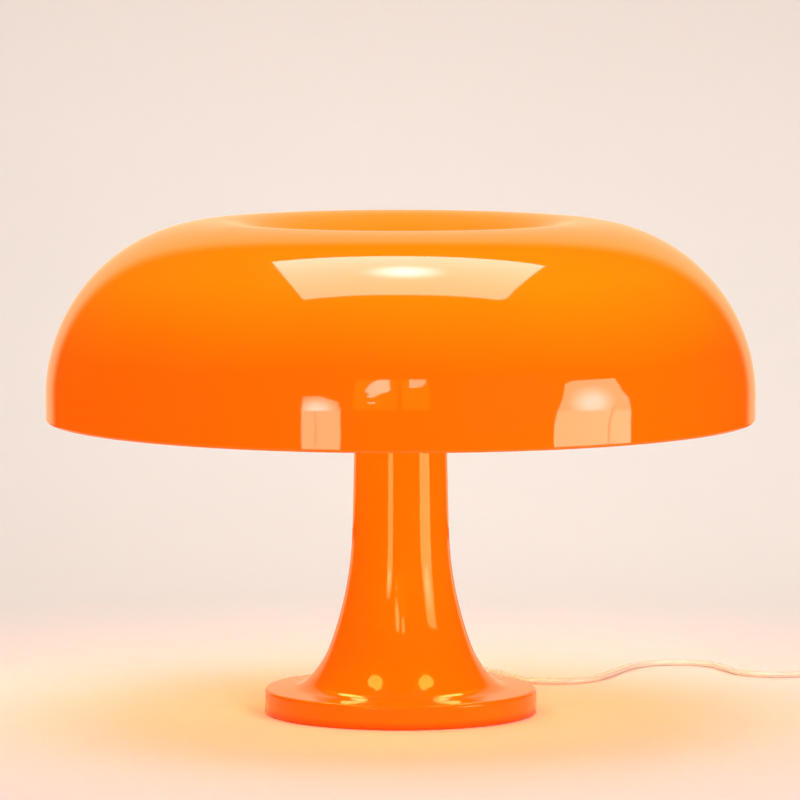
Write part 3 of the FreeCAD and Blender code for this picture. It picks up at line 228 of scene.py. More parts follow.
def flare_centres():
    """Centres of the moulding's three hollow curves, and the turn at which the last one starts."""
    draft, change = math.radians(STEM_DRAFT), math.radians(FLARE_CHANGE)
    slope = math.radians(BASE_TOP_SLOPE)
    lower_z = BASE_EDGE_H + FLARE_LOWER_R - FLARE_SINK
    step = FLARE_UPPER_R - FLARE_LOWER_R
    top_z = lower_z + step * math.sin(change) - FLARE_UPPER_R * math.sin(draft)
    stem_r = STEM_R + (STEM_TOP - top_z) * math.tan(draft)
    lower = (stem_r - step * math.cos(change) + FLARE_UPPER_R * math.cos(draft), lower_z)
    upper = on_circle(lower, step, FLARE_CHANGE)
    across, up = math.cos(slope), math.sin(slope)
    from_r = FLARE_FOOT_R * up - lower[0]
    from_z = BASE_EDGE_H + BASE_R * math.tan(slope) + FLARE_FOOT_R * across - lower_z
    half = from_r * across - from_z * up
    rest = from_r ** 2 + from_z ** 2 - (FLARE_LOWER_R - FLARE_FOOT_R) ** 2
    reach = -half - math.sqrt(half ** 2 - rest)
    foot = (lower[0] + from_r + reach * across, lower_z + from_z - reach * up)
    return upper, lower, foot, math.degrees(math.atan2(lower_z - foot[1], lower[0] - foot[0]))


def moulding_outline():
    """Stem, flare and base outside, then back up the hollow inside."""
    upper, lower, foot, foot_turn = flare_centres()
    slope = math.radians(BASE_TOP_SLOPE)

    def top_at(radius, inward):
        end = on_circle(foot, FLARE_FOOT_R + inward, 270 - BASE_TOP_SLOPE)
        return end[1] - (radius - end[0]) * math.tan(slope)

    def hollow(inward):
        return [
            *arc(upper, FLARE_UPPER_R + inward, 180 + STEM_DRAFT, 180 + FLARE_CHANGE),
            *arc(lower, FLARE_LOWER_R + inward, 180 + FLARE_CHANGE, 180 + foot_turn),
            *arc(foot, FLARE_FOOT_R + inward, 180 + foot_turn, 270 - BASE_TOP_SLOPE,
                 FOOT_SPACING)]

    edge_r = BASE_R - BASE_EDGE_ROUND
    edge = (edge_r, top_at(edge_r, 0) - BASE_EDGE_ROUND / math.cos(slope))
    top_r = edge_r - BESIDE_TOP_ROUND
    low_r, inner_r = BASE_BOTTOM_ROUND, BASE_R - MOULDING_WALL
    side_wall = MOULDING_WALL / math.cos(math.radians(STEM_DRAFT))
    return [
        (STEM_R, STEM_TOP),
        *hollow(0),
        (top_r, top_at(top_r, 0)),
        *arc(edge, BASE_EDGE_ROUND, 90 - BASE_TOP_SLOPE, 0, ROUND_SPACING),
        (BASE_R, edge[1] - BESIDE_ROUND),
        (BASE_R, FOOT_H + low_r + BESIDE_ROUND),
        *arc((BASE_R - low_r, FOOT_H + low_r), low_r, 0, -90, ROUND_SPACING),
        (inner_r, FOOT_H),
        (inner_r, top_at(inner_r, MOULDING_WALL)),
        *reversed(hollow(MOULDING_WALL)),
        (STEM_R - side_wall, STEM_TOP)]


def make_shade(material):
    piece = lathe("shade_shell", shade_outline(), SHADE_STEPS)
    dress(piece, material, "root", "orange_plastic", "shade")


def make_moulding(material):
    piece = lathe("stem_moulding", moulding_outline(), MOULDING_STEPS)
    dress(piece, material, "root", "orange_plastic", "stem_base")


# ---------------------------------------------------------------- cord
def smooth_line(points):
    """Points along a smooth spline through the route, read from a curve without thickness."""
    curve = bpy.data.curves.new("route", "CURVE")
    curve.dimensions = "3D"
    curve.resolution_u = CORD_RESOLUTION
    spline = curve.splines.new("NURBS")
    spline.points.add(len(points) - 1)
    for control, place in zip(spline.points, points):
        control.co = (*place, 1.0)
    spline.order_u = 3
    spline.use_endpoint_u = True
    route = bpy.data.objects.new("route", curve)
    bpy.context.scene.collection.objects.link(route)
    line = bpy.data.meshes.new_from_object(route)
    places = [v.co.copy() for v in line.vertices]
    bpy.data.objects.remove(route)
    bpy.data.curves.remove(curve)
    bpy.data.meshes.remove(line)
    return places


def flat_section():
    """Outline of two insulated cores side by side, in millimetres across and up."""
    turns = range(-CORD_LOBE_TURN, CORD_LOBE_TURN + 1, CORD_LOBE_STEP)
    right = [on_circle((CORD_LOBE_X, 0), CORD_LOBE_R, turn) for turn in turns]
    left = [(-x, -y) for x, y in right]
    waist = CORD_LOBE_R * CORD_WAIST
    return right + [(0, waist)] + left + [(0, -waist)]


def round_section(centre, radius):
    turns = [360 * i / WIRE_SIDES for i in range(WIRE_SIDES)]
    return [on_circle((centre, 0), radius, turn) for turn in turns]


def sweep(name, line, section):
    """A section in millimetres carried level along a line, with closed ends."""
    points, faces = [], []
    count = len(section)
    for i, place in enumerate(line):
        ahead = (line[min(i + 1, len(line) - 1)] - line[max(i - 1, 0)]).normalized()
        side = ahead.cross(Vector((0, 0, 1))).normalized()
        up = side.cross(ahead)
        points += [tuple(place + side * (x * MM) + up * (y * MM)) for x, y in section]
    for i in range(len(line) - 1):
        here, there = i * count, (i + 1) * count
        for j in range(count):
            k = (j + 1) % count
            faces.append((here + j, here + k, there + k, there + j))
    faces.append(tuple(range(count)))
    faces.append(tuple(reversed(range(len(points) - count, len(points)))))
    return add_mesh(name, points, faces, CORD_SMOOTH_BELOW)


def coil_route():
    """Two layers of turns: inwards on the floor, then outwards on top."""
    route = []
    total = 2 * COIL_TURNS
    for i in range(1, round(total * COIL_POINTS_PER_TURN)):
        turns = i / COIL_POINTS_PER_TURN
        inward = turns if turns < COIL_TURNS else total - turns
        radius = COIL_R - COIL_PITCH * inward
        climb = max(0.0, min(1.0, (turns - COIL_TURNS + COIL_CLIMB / 2) / COIL_CLIMB))
        height = LIE + COIL_LAYER * climb * climb * (3 - 2 * climb)
        x, y = on_circle(COIL_CENTRE, radius, 180 + 360 * turns)
        route.append((x, y, height))
    return route


def make_cord(name, route, nodes, jacket, wire):
    """One flat cord: a clear jacket over two stranded conductors."""
    line = smooth_line(route)
    cord = sweep(name, line, flat_section())
    dress(cord, jacket, "root", "cord_clear", *nodes)
    wires = []
    for side, label in ((-1, "a"), (1, "b")):
        core = sweep(f"{name}_core_{label}", line, round_section(side * CORD_LOBE_X, WIRE_R))
        dress(core, wire, "root", "pin_metal")
        wires.append(core)
    return cord, wires, [tuple(p) for p in line]


def make_lamp_cord(jacket, wire):
    """From the base's back wall to the switch."""
    cord, wires, path = make_cord(
        "cord_lamp_to_switch", LAMP_ROUTE, ["cord_to_switch"], jacket, wire)


def make_plug_cord(jacket, wire):
    """From the switch through the put-away coil to the plug."""
    cord, wires, path = make_cord(
        "cord_switch_to_plug", COIL_RUN + coil_route() + PLUG_RUN,
        ["cord_to_coil", "cord_coil", "cord_to_plug"], jacket, wire)


# ---------------------------------------------------------------- materials
NOISE_LOW, NOISE_HIGH = 0.3, 0.7      # the part of a noise's range that is spread out
TONE_LOW, TONE_HIGH = 0.35, 0.65      # where the ramp between two tones starts and ends
HEIGHT_STIR = 0.1                     # share of noise mixed into a tone that goes by height


def add_node(tree, kind, **values):
    node = tree.nodes.new(kind)
    for key, value in values.items():
        setattr(node, key, value)
    return node


class Nodes:
    """A material's node tree with its Principled shader."""

    def __init__(self, name):
        self.material = bpy.data.materials.new(name)
        self.material.use_nodes = True
        self.tree = self.material.node_tree
        self.shader = self.tree.nodes["Principled BSDF"]
        self.place = self.add("ShaderNodeTexCoord").outputs["Object"]

    def add(self, kind, **values):
        return add_node(self.tree, kind, **values)

    def link(self, output, target):
        self.tree.links.new(output, target)

    def put(self, **values):
        """Constants set on the shader's own sockets."""
        for key, value in values.items():
            self.shader.inputs[key.replace("_", " ")].default_value = value

    def noise(self, scale, detail=3.0, stretch=None):
        node = self.add("ShaderNodeTexNoise")
        node.inputs["Scale"].default_value = scale
        node.inputs["Detail"].default_value = detail
        place = self.place
        if stretch:
            mapping = self.add("ShaderNodeMapping")
            mapping.inputs["Scale"].default_value = stretch
            self.link(place, mapping.inputs["Vector"])
            place = mapping.outputs["Vector"]
        self.link(place, node.inputs["Vector"])
        return node.outputs["Fac"]

    def spread(self, value, low, high):
        """A noise value spread over a range."""
        node = self.add("ShaderNodeMapRange")
        node.inputs["From Min"].default_value = NOISE_LOW
        node.inputs["From Max"].default_value = NOISE_HIGH
        node.inputs["To Min"].default_value = low
        node.inputs["To Max"].default_value = high
        self.link(value, node.inputs["Value"])
        return node.outputs["Result"]

    def two_tones(self, value, first, second):
        """Base colour between two tones, by a value of 0 to 1."""
        ramp = self.add("ShaderNodeValToRGB")
        start, end = ramp.color_ramp.elements
        start.position, start.color = TONE_LOW, (*first, 1)
        end.position, end.color = TONE_HIGH, (*second, 1)
        self.link(value, ramp.inputs["Fac"])
        self.link(ramp.outputs["Color"], self.shader.inputs["Base Color"])

    def with_height(self, value, low, high):
        """A value of 0 to 1 by height in metres, stirred a little by a noise value."""
        split = self.add("ShaderNodeSeparateXYZ")
        self.link(self.place, split.inputs["Vector"])
        rise = self.add("ShaderNodeMapRange")
        rise.inputs["From Min"].default_value = low
        rise.inputs["From Max"].default_value = high
        self.link(split.outputs["Z"], rise.inputs["Value"])
        stir = self.add("ShaderNodeMath", operation="MULTIPLY_ADD")
        stir.inputs[1].default_value = HEIGHT_STIR
        self.link(value, stir.inputs[0])
        self.link(rise.outputs["Result"], stir.inputs[2])
        return stir.outputs["Value"]

    def rough(self, value, low, high):
        self.link(self.spread(value, low, high), self.shader.inputs["Roughness"])

    def bump(self, value, depth, strength=1.0):
        node = self.add("ShaderNodeBump")
        node.inputs["Distance"].default_value = depth
        node.inputs["Strength"].default_value = strength
        self.link(value, node.inputs["Height"])
        self.link(node.outputs["Normal"], self.shader.inputs["Normal"])


def toned(colour, share):
    return tuple(c * share for c in colour)


def surface(name, colour, rough, relief=600.0, depth=0.00002, variation=0.06, **constants):
    """A moulded, painted or cast surface: slight tone, gloss and relief variation."""
    nodes = Nodes(name)
    nodes.two_tones(nodes.noise(60.0), toned(colour, 1 - variation), toned(colour, 1 + variation))
    nodes.rough(nodes.noise(220.0, detail=4.0), low=rough * 0.8, high=rough * 1.25)
    nodes.bump(nodes.noise(relief, detail=4.0), depth)
    nodes.put(**constants)
    return nodes.material


def orange_plastic(name, lit, gloss, blue, heights, tones):
    """Glossy orange: its tone goes by height as painted light and shade, with a painted glow."""
    nodes = Nodes(name)
    nodes.two_tones(nodes.with_height(nodes.noise(14.0, detail=2.0), *heights), *tones)
    nodes.rough(nodes.noise(90.0), low=0.035, high=0.055)
    nodes.bump(nodes.noise(16.0, detail=1.0), depth=0.00025, strength=0.3)
    nodes.put(IOR=1.55, Specular_IOR_Level=gloss, Specular_Tint=(1.0, 0.85, blue, 1.0))
    nodes.put(Emission_Color=PLASTIC_GLOW, Emission_Strength=lit)
    return nodes.material


def drawn_metal(name, colour, rough, stretch=(1.0, 1.0, 12.0), metallic=1.0):
    """Metal with fine lines along one way."""
    nodes = Nodes(name)
    nodes.two_tones(nodes.noise(120.0), toned(colour, 0.88), colour)
    lines = nodes.noise(300.0, detail=4.0, stretch=stretch)
    nodes.rough(lines, low=rough * 0.7, high=rough * 1.4)
    nodes.bump(nodes.noise(900.0, stretch=stretch), depth=0.00001)
    nodes.put(Metallic=metallic)
    return nodes.material


def clear_plastic(name, colour, alpha, rough=0.16):
    """Clear soft plastic, thin enough to show what is in it."""
    nodes = Nodes(name)
    nodes.two_tones(nodes.noise(200.0), toned(colour, 0.94), colour)
    nodes.rough(nodes.noise(500.0), low=rough * 0.7, high=rough * 1.3)
    nodes.bump(nodes.noise(700.0), depth=0.00003)
    nodes.put(Alpha=alpha, IOR=1.5)
    return nodes.material


def lit_glass(name):
    """Frosted bulb, lit from inside."""
    nodes = Nodes(name)
    nodes.two_tones(nodes.noise(90.0), *FROSTED_TONES)
    nodes.rough(nodes.noise(800.0), low=0.28, high=0.42)
    nodes.bump(nodes.noise(1500.0), depth=0.00001)
    nodes.put(Emission_Color=BULB_LIGHT, Emission_Strength=BULB_LEVEL)
    return nodes.material


# Light of the bulbs, and a painted glow on the orange plastic that stands in for bulb light through
# it.
BULB_LIGHT = (1.0, 0.70, 0.21, 1.0)
BULB_LEVEL = 13.5
PLASTIC_GLOW = (1.0, 0.10, 0.0, 1.0)

# Lower and upper tone of each moulding, and the heights between which they change.
# Shade and knob: the upper tone is painted light, lighter towards the top where the overhead light
# falls.
SHADE_TONES_PAINTED_LIGHT = (0.955, 0.138, 0.0012), (0.985, 0.250, 0.0018)
SHADE_PAINTED_LIGHT_HEIGHTS = (0.13, 0.25)
# Stem and base: the lower tone is a painted shade, a darker red band at the base's foot where it
# meets the floor.
STEM_TONES_PAINTED_SHADE = (0.90, 0.060, 0.0004), (0.955, 0.140, 0.0012)
STEM_PAINTED_SHADE_HEIGHTS = (-0.001, 0.007)
FROSTED_TONES = (0.96, 0.86, 0.66), (1.0, 0.93, 0.78)

BLACK_PAINT = (0.035, 0.033, 0.032)
FOOT_BLACK = (0.03, 0.03, 0.03)
GASKET_BLACK = (0.05, 0.05, 0.05)
IRON = (0.10, 0.095, 0.09)
ZINC = (0.62, 0.62, 0.60)
STEEL = (0.60, 0.60, 0.58)
NICKEL = (0.78, 0.77, 0.75)
CAP_NICKEL = (0.78, 0.78, 0.77)
TUNGSTEN = (0.55, 0.53, 0.50)
BRASS = (0.80, 0.58, 0.26)
SHEET_BRASS = (0.78, 0.57, 0.27)
TINNED_COPPER = (0.93, 0.84, 0.72)
ENAMEL = (0.86, 0.84, 0.79)
HOLDER_WHITE = (0.84, 0.82, 0.77)
BLOCK_WHITE = (0.80, 0.78, 0.72)
LEAD_BROWN = (0.19, 0.08, 0.03)
LEAD_BLUE = (0.03, 0.13, 0.42)
CLEAR_CORD = (0.96, 0.86, 0.74)
CLEAR_GLAND = (0.86, 0.78, 0.70)
CLEAR_SWITCH = (0.90, 0.85, 0.78)
CLEAR_PLUG = (0.90, 0.84, 0.76)
CLEAR_GLASS = (0.93, 0.94, 0.94)

ALONG_ROD = (0.3, 0.3, 30.0)          # how the fine lines of a metal are stretched
STRANDS = (40.0, 40.0, 40.0)
EVEN = (1.0, 1.0, 1.0)
RUBBER_RELIEF = dict(relief=1800.0, depth=0.00005)

MATERIALS = {
    # lit is the strength of the painted glow on each orange moulding.
    "orange": orange_plastic(
        "orange_shell", lit=0.40, gloss=0.5, blue=0.6, heights=SHADE_PAINTED_LIGHT_HEIGHTS, tones=SHADE_TONES_PAINTED_LIGHT),
    "orange_stem": orange_plastic(
        "orange_stem", lit=0.19, gloss=0.33, blue=0.3, heights=STEM_PAINTED_SHADE_HEIGHTS, tones=STEM_TONES_PAINTED_SHADE),
    "orange_knob": orange_plastic(
        "orange_knob", lit=0.20, gloss=0.5, blue=0.6, heights=SHADE_PAINTED_LIGHT_HEIGHTS, tones=SHADE_TONES_PAINTED_LIGHT),
    "cover_steel": surface("black_sheet", BLACK_PAINT, rough=0.45, relief=1400.0),
    "screw_steel": drawn_metal("zinc_plated_steel", ZINC, rough=0.32),
    "foot_rubber": surface("foot_rubber", FOOT_BLACK, rough=0.8, **RUBBER_RELIEF),
    "ballast_iron": surface(
        "cast_iron", IRON, rough=0.7, relief=700.0, depth=0.0002, variation=0.2, Metallic=0.6),
    "rod_steel": drawn_metal("threaded_rod", STEEL, rough=0.35, stretch=ALONG_ROD),
    "drum_white": surface("white_enamel", ENAMEL, rough=0.3, relief=300.0),
    "gasket_rubber": surface("gasket_rubber", GASKET_BLACK, rough=0.75, **RUBBER_RELIEF),
    "brass_parts": drawn_metal("turned_brass", BRASS, rough=0.26),
    "block_plastic": surface("terminal_block", BLOCK_WHITE, rough=0.45),
    "lead_brown": surface("brown_lead", LEAD_BROWN, rough=0.4),
    "lead_blue": surface("blue_lead", LEAD_BLUE, rough=0.4),
    "gland_plastic": clear_plastic("clear_gland", CLEAR_GLAND, alpha=0.75, rough=0.3),
    "cord_clear": clear_plastic("clear_cord", CLEAR_CORD, alpha=0.36),
    "wire": drawn_metal(
        "tinned_strands", TINNED_COPPER, rough=0.45, stretch=STRANDS, metallic=0.25),
    "switch_plastic": clear_plastic("clear_switch", CLEAR_SWITCH, alpha=0.82, rough=0.2),
    "rocker_plastic": surface("rocker", ENAMEL, rough=0.25),
    "contact_brass": drawn_metal("stamped_brass", SHEET_BRASS, rough=0.3),
    "plug_plastic": clear_plastic("clear_plug", CLEAR_PLUG, alpha=0.88, rough=0.25),
    "pin_metal": drawn_metal("nickel_pins", NICKEL, rough=0.16),
    "filament_glass": clear_plastic("mount_glass", CLEAR_GLASS, alpha=0.35, rough=0.05),
    "filament": drawn_metal("filament_wire", TUNGSTEN, rough=0.3),
    "holder_plastic": surface("white_holder", HOLDER_WHITE, rough=0.35),
    "bulb_cap_metal": drawn_metal("rolled_cap", CAP_NICKEL, rough=0.3, stretch=EVEN),
    "bulb_glass": lit_glass("frosted_bulb"),
}

NODE_LOOKS = {
    "base_cover": "cover_steel", "cover_screws": "screw_steel", "foot_pads": "foot_rubber",
    "ballast": "ballast_iron", "threaded_rod": "rod_steel", "rod_nuts": "screw_steel",
    "rod_washers": "screw_steel", "lampholder_drum": "drum_white", "drum_lid": "drum_white",
    "seat_gasket": "gasket_rubber", "knob_washer": "screw_steel", "shade_knob": "orange_knob",
    "knob_insert": "brass_parts", "terminal_block": "block_plastic",
    "terminal_screws": "screw_steel", "leads_live": "lead_brown", "leads_neutral": "lead_blue",
    "cord_gland": "gland_plastic", "cord_inside": "cord_clear",
    "switch_lower": "switch_plastic", "switch_upper": "switch_plastic",
    "switch_rocker": "rocker_plastic", "switch_screws": "screw_steel",
    "switch_contacts": "contact_brass", "plug_body": "plug_plastic", "plug_pins": "pin_metal",
    "centre_contacts": "contact_brass", "holder_nipples": "brass_parts",
    "holder_nuts": "brass_parts", "filament_mounts": "filament_glass", "filaments": "filament",
    "lampholder_body": "holder_plastic", "lampholder_shell": "contact_brass",
    "bulb_cap": "bulb_cap_metal", "bulb_glass": "bulb_glass"}


def dress_nodes():
    """Materials for the CAD nodes that stay; numbered nodes share their family's look."""
    for name, node in NODES.items():
        family = name.rstrip("0123456789").rstrip("_")
        look = NODE_LOOKS.get(name) or NODE_LOOKS.get(family)
        if look:
            node.data.materials.clear()
            node.data.materials.append(MATERIALS[look])


# ---------------------------------------------------------------- paper and world
PAPER = (0.75, 0.685, 0.635)
PAPER_CLOUDS = 0.01           # how much its tone varies
SHEET_FRONT = -0.5
FLOOR_BACK = 0.42
COVE_R = 0.35
COVE_STEPS = 24
SHEET_TOP = 1.25
SHEET_HALF = 0.62
APRON_HALF = 1.3
APRON_FADE = (0.85, 1.25)     # from full to clear, so that the floor has no edge in other views
APRON_DROP = 0.0005
PALE = (0.905, 0.775, 0.680)
FILL = (0.26, 0.25, 0.24)


def one_sided(nodes, fade=None):
    """Seen and lit on its front alone, and clear beyond a distance if fade gives its range."""
    clear = nodes.add("ShaderNodeBsdfTransparent")
    gone = nodes.add("ShaderNodeNewGeometry").outputs["Backfacing"]
    if fade:
        away = nodes.add("ShaderNodeVectorMath", operation="LENGTH")
        nodes.link(nodes.place, away.inputs[0])
        share = nodes.add("ShaderNodeMapRange", interpolation_type="SMOOTHSTEP")
        share.inputs["From Min"].default_value, share.inputs["From Max"].default_value = fade
        nodes.link(away.outputs["Value"], share.inputs["Value"])
        most = nodes.add("ShaderNodeMath", operation="MAXIMUM")
        nodes.link(gone, most.inputs[0])
        nodes.link(share.outputs["Result"], most.inputs[1])
        gone = most.outputs["Value"]
    mix = nodes.add("ShaderNodeMixShader")
    nodes.link(gone, mix.inputs["Fac"])
    nodes.link(nodes.shader.outputs["BSDF"], mix.inputs[1])
    nodes.link(clear.outputs["BSDF"], mix.inputs[2])
    nodes.link(mix.outputs["Shader"], nodes.tree.nodes["Material Output"].inputs["Surface"])


def paper(name, fade=None):
    """Matt studio paper with faint clouds in its tone."""
    nodes = Nodes(name)
    tones = toned(PAPER, 1 - PAPER_CLOUDS), toned(PAPER, 1 + PAPER_CLOUDS)
    nodes.two_tones(nodes.noise(2.5, detail=2.0), *tones)
    nodes.rough(nodes.noise(40.0), low=0.8, high=0.95)
    nodes.bump(nodes.noise(900.0), depth=0.00005, strength=0.3)
    nodes.put(Specular_IOR_Level=0.2)
    one_sided(nodes, fade)
    return nodes.material


def make_backdrop():
    """One sheet of paper: the floor, and the cove and wall, which the gloss doesn't show."""
    material = paper("studio_paper")
    floor = [(SHEET_FRONT, 0.0), (FLOOR_BACK, 0.0)]
    turns = [math.pi / 2 * i / COVE_STEPS for i in range(COVE_STEPS + 1)]
    wall = [(FLOOR_BACK + COVE_R * math.sin(a), COVE_R * (1 - math.cos(a))) for a in turns]
    wall.append((FLOOR_BACK + COVE_R, SHEET_TOP))
    for name, rows in (("backdrop", floor), ("backdrop_wall", wall)):
        points = [(x, y, z) for y, z in rows for x in (-SHEET_HALF, SHEET_HALF)]
        faces = [(2 * i, 2 * i + 1, 2 * i + 3, 2 * i + 2) for i in range(len(rows) - 1)]
        sheet = add_mesh(name, points, faces)
        sheet.data.materials.append(material)
        sheet.visible_glossy = name == "backdrop"


def make_apron():
    """A wide floor of the same paper just under the sheet."""
    corners = [(-1, -1), (1, -1), (1, 1), (-1, 1)]
    points = [(x * APRON_HALF, y * APRON_HALF, -APRON_DROP) for x, y in corners]
    apron = add_mesh("wide_floor", points, [(0, 1, 2, 3)])
    apron.data.materials.append(paper("floor_paper", APRON_FADE))
    apron.visible_glossy = False


def make_world():
    """Pale to the eye, in gloss and through glass, with a neutral fill light."""
    world = bpy.data.worlds.new("studio")
    world.use_nodes = True
    tree = world.node_tree
    background = tree.nodes["Background"]
    path = add_node(tree, "ShaderNodeLightPath")
    first = add_node(tree, "ShaderNodeMath", operation="ADD")
    both = add_node(tree, "ShaderNodeMath", operation="ADD", use_clamp=True)
    mix = add_node(tree, "ShaderNodeMix", data_type="RGBA")
    mix.inputs["A"].default_value = (*FILL, 1)
    mix.inputs["B"].default_value = (*PALE, 1)
    background.inputs["Strength"].default_value = 1.0
    tree.links.new(path.outputs["Is Camera Ray"], first.inputs[0])
    tree.links.new(path.outputs["Is Transmission Ray"], first.inputs[1])
    tree.links.new(first.outputs["Value"], both.inputs[0])
    tree.links.new(path.outputs["Is Glossy Ray"], both.inputs[1])
    tree.links.new(both.outputs["Value"], mix.inputs["Factor"])
    tree.links.new(mix.outputs["Result"], background.inputs["Color"])
    bpy.context.scene.world = world


# ---------------------------------------------------------------- what shows only in the gloss
# A light is a colour and a level. Each card goes from its inner light at a hot point to its outer
# light at a reach from it.
COOL, WARM = (0.75, 0.75, 1.0), (1.0, 0.92, 0.80)
ROSE = (1.0, 0.86, 0.92)
AMBER = (0.95, 0.72, 0.42)
PANE_YELLOW = (1.0, 0.80, 0.05)
PATCH_HOT, PATCH_EDGE = (1.0, 0.80, 0.85), (1.0, 0.80, 0.75)

OVERHEAD_Z = 1.2
SOFTBOX_FOOT = -0.035         # below the floor, so that the reflections reach the shade's rim
FOLD_FOOT = -0.02
FLAG_Z = 0.245
FLAG_HALF, FLAG_FRONT, FLAG_BACK = 0.085, 0.025, 0.092
PANE_Y, PANE_LOW, PANE_HIGH, PANE_HOT_Z = -1.60, 0.30, 0.84, 0.60
PATCH_Y = -1.59

# Outlines of the cards, as listed.
OVERHEAD_OUTLINE = [
    (-0.380, 0.520), (0.011, 0.505), (0.451, 0.481), (0.447, -0.030), (0.455, -0.164),
    (0.429, -0.211), (0.018, -0.237), (-0.421, -0.215), (-0.402, 0.163)]
LEFT_LOW_OUTLINE = [
    (-0.800, -1.390, SOFTBOX_FOOT), (-0.500, -1.530, SOFTBOX_FOOT), (-0.500, -1.530, 0.277),
    (-0.800, -1.390, 0.260)]
LEFT_HIGH_OUTLINE = [
    (-0.800, -1.390, 0.260), (-0.500, -1.530, 0.277), (-0.523, -1.522, 0.424),
    (-0.669, -1.453, 0.512), (-0.800, -1.390, 0.484)]
RIGHT_LOW_OUTLINE = [
    (1.029, -0.970, SOFTBOX_FOOT), (1.322, -0.370, SOFTBOX_FOOT), (1.322, -0.370, 0.146),
    (1.045, -0.938, 0.200)]
RIGHT_HIGH_OUTLINE = [
    (1.045, -0.938, 0.200), (1.322, -0.370, 0.146), (1.318, -0.376, 0.281),
    (1.297, -0.420, 0.380), (1.287, -0.441, 0.531), (1.227, -0.563, 0.545),
    (1.122, -0.779, 0.572), (1.093, -0.839, 0.546), (1.066, -0.893, 0.342)]
RIGHT_FOLD_LINE = [
    (1.212, -0.560, FOLD_FOOT), (1.215, -0.560, 0.016), (1.221, -0.547, 0.056),
    (1.233, -0.522, 0.189), (1.267, -0.453, 0.248), (1.302, -0.382, 0.271)]
LEFT_FOLD_LINE = [(-0.690, -1.425, FOLD_FOOT), (-0.690, -1.425, 0.260)]
PANES = {"front_pane_left": (-0.409, -0.032), "front_pane_right": (0.008, 0.247)}
PATCHES = {
    "front_patch_left": [
        (-0.264, 0.749), (-0.205, 0.831), (-0.101, 0.831), (-0.089, 0.640), (-0.118, 0.599),
        (-0.157, 0.586), (-0.245, 0.504), (-0.297, 0.516), (-0.268, 0.570), (-0.314, 0.620)],
    "front_streak": [(-0.275, 0.401), (-0.215, 0.401), (-0.215, 0.434), (-0.275, 0.434)],
    "front_patch_right": [
        (0.075, 0.835), (0.222, 0.841), (0.216, 0.758), (0.176, 0.690), (0.073, 0.674)]}

GLOSS_SHEET = 1.2             # half width and height of the paper in the gloss, before its scale
GLOSS_SCALE = (0.60, 1.0, 1.00)
GLOSS_NEAR, GLOSS_REACH = 0.80, 1.12
GLOSS_LIGHT, GLOSS_END = ((0.90, 0.70, 0.40), 1.0), ((1.0, 0.7, 0.2), 0.08)
ROOM_R = 5.0
ROOM_ABOVE, ROOM_BELOW = ((1.0, 0.7, 0.25), 0.10), ((1.0, 0.6, 0.2), 0.07)


def glow(name, hot, reach, inner, outer, near=0.0):
    """Light that goes from one colour and level near a point to another at a distance from it."""
    material = bpy.data.materials.new(name)
    material.use_nodes = True
    tree = material.node_tree
    tree.nodes.clear()
    output = add_node(tree, "ShaderNodeOutputMaterial")
    light = add_node(tree, "ShaderNodeEmission")
    place = add_node(tree, "ShaderNodeTexCoord")
    away = add_node(tree, "ShaderNodeVectorMath", operation="DISTANCE")
    away.inputs[1].default_value = hot
    share = add_node(tree, "ShaderNodeMapRange", interpolation_type="SMOOTHSTEP")
    share.inputs["From Min"].default_value = near
    share.inputs["From Max"].default_value = reach
    tone = add_node(tree, "ShaderNodeMix", data_type="RGBA")
    tone.inputs["A"].default_value = (*inner[0], 1)
    tone.inputs["B"].default_value = (*outer[0], 1)
    level = add_node(tree, "ShaderNodeMapRange")
    level.inputs["To Min"].default_value = inner[1]
    level.inputs["To Max"].default_value = outer[1]
    tree.links.new(place.outputs["Object"], away.inputs[0])
    tree.links.new(away.outputs["Value"], share.inputs["Value"])
    tree.links.new(share.outputs["Result"], tone.inputs["Factor"])
    tree.links.new(share.outputs["Result"], level.inputs["Value"])
    tree.links.new(tone.outputs["Result"], light.inputs["Color"])
    tree.links.new(level.outputs["Result"], light.inputs["Strength"])
    tree.links.new(light.outputs["Emission"], output.inputs["Surface"])
    return material


def reflected_only(piece):
    piece.visible_camera = False
    piece.visible_diffuse = False
    piece.visible_transmission = False
    piece.visible_shadow = False


def card(name, outline, hot, reach, inner, outer):
    """A pane of light that shows only as a reflection in glossy surfaces."""
    piece = add_mesh(name, outline, [tuple(range(len(outline)))])
    piece.data.materials.append(glow(name, hot, reach, inner, outer))
    reflected_only(piece)


def ribbon(name, line, across, light):
    """A thin darker line on a softbox, as a fold in its cloth."""
    outline = [*line, *[(x + across[0], y + across[1], z) for x, y, z in reversed(line)]]
    count = len(line)
    faces = [(i, i + 1, 2 * count - 2 - i, 2 * count - 1 - i) for i in range(count - 1)]
    piece = add_mesh(name, outline, faces)
    piece.data.materials.append(glow(name, line[0], 1.0, light, light))
    reflected_only(piece)


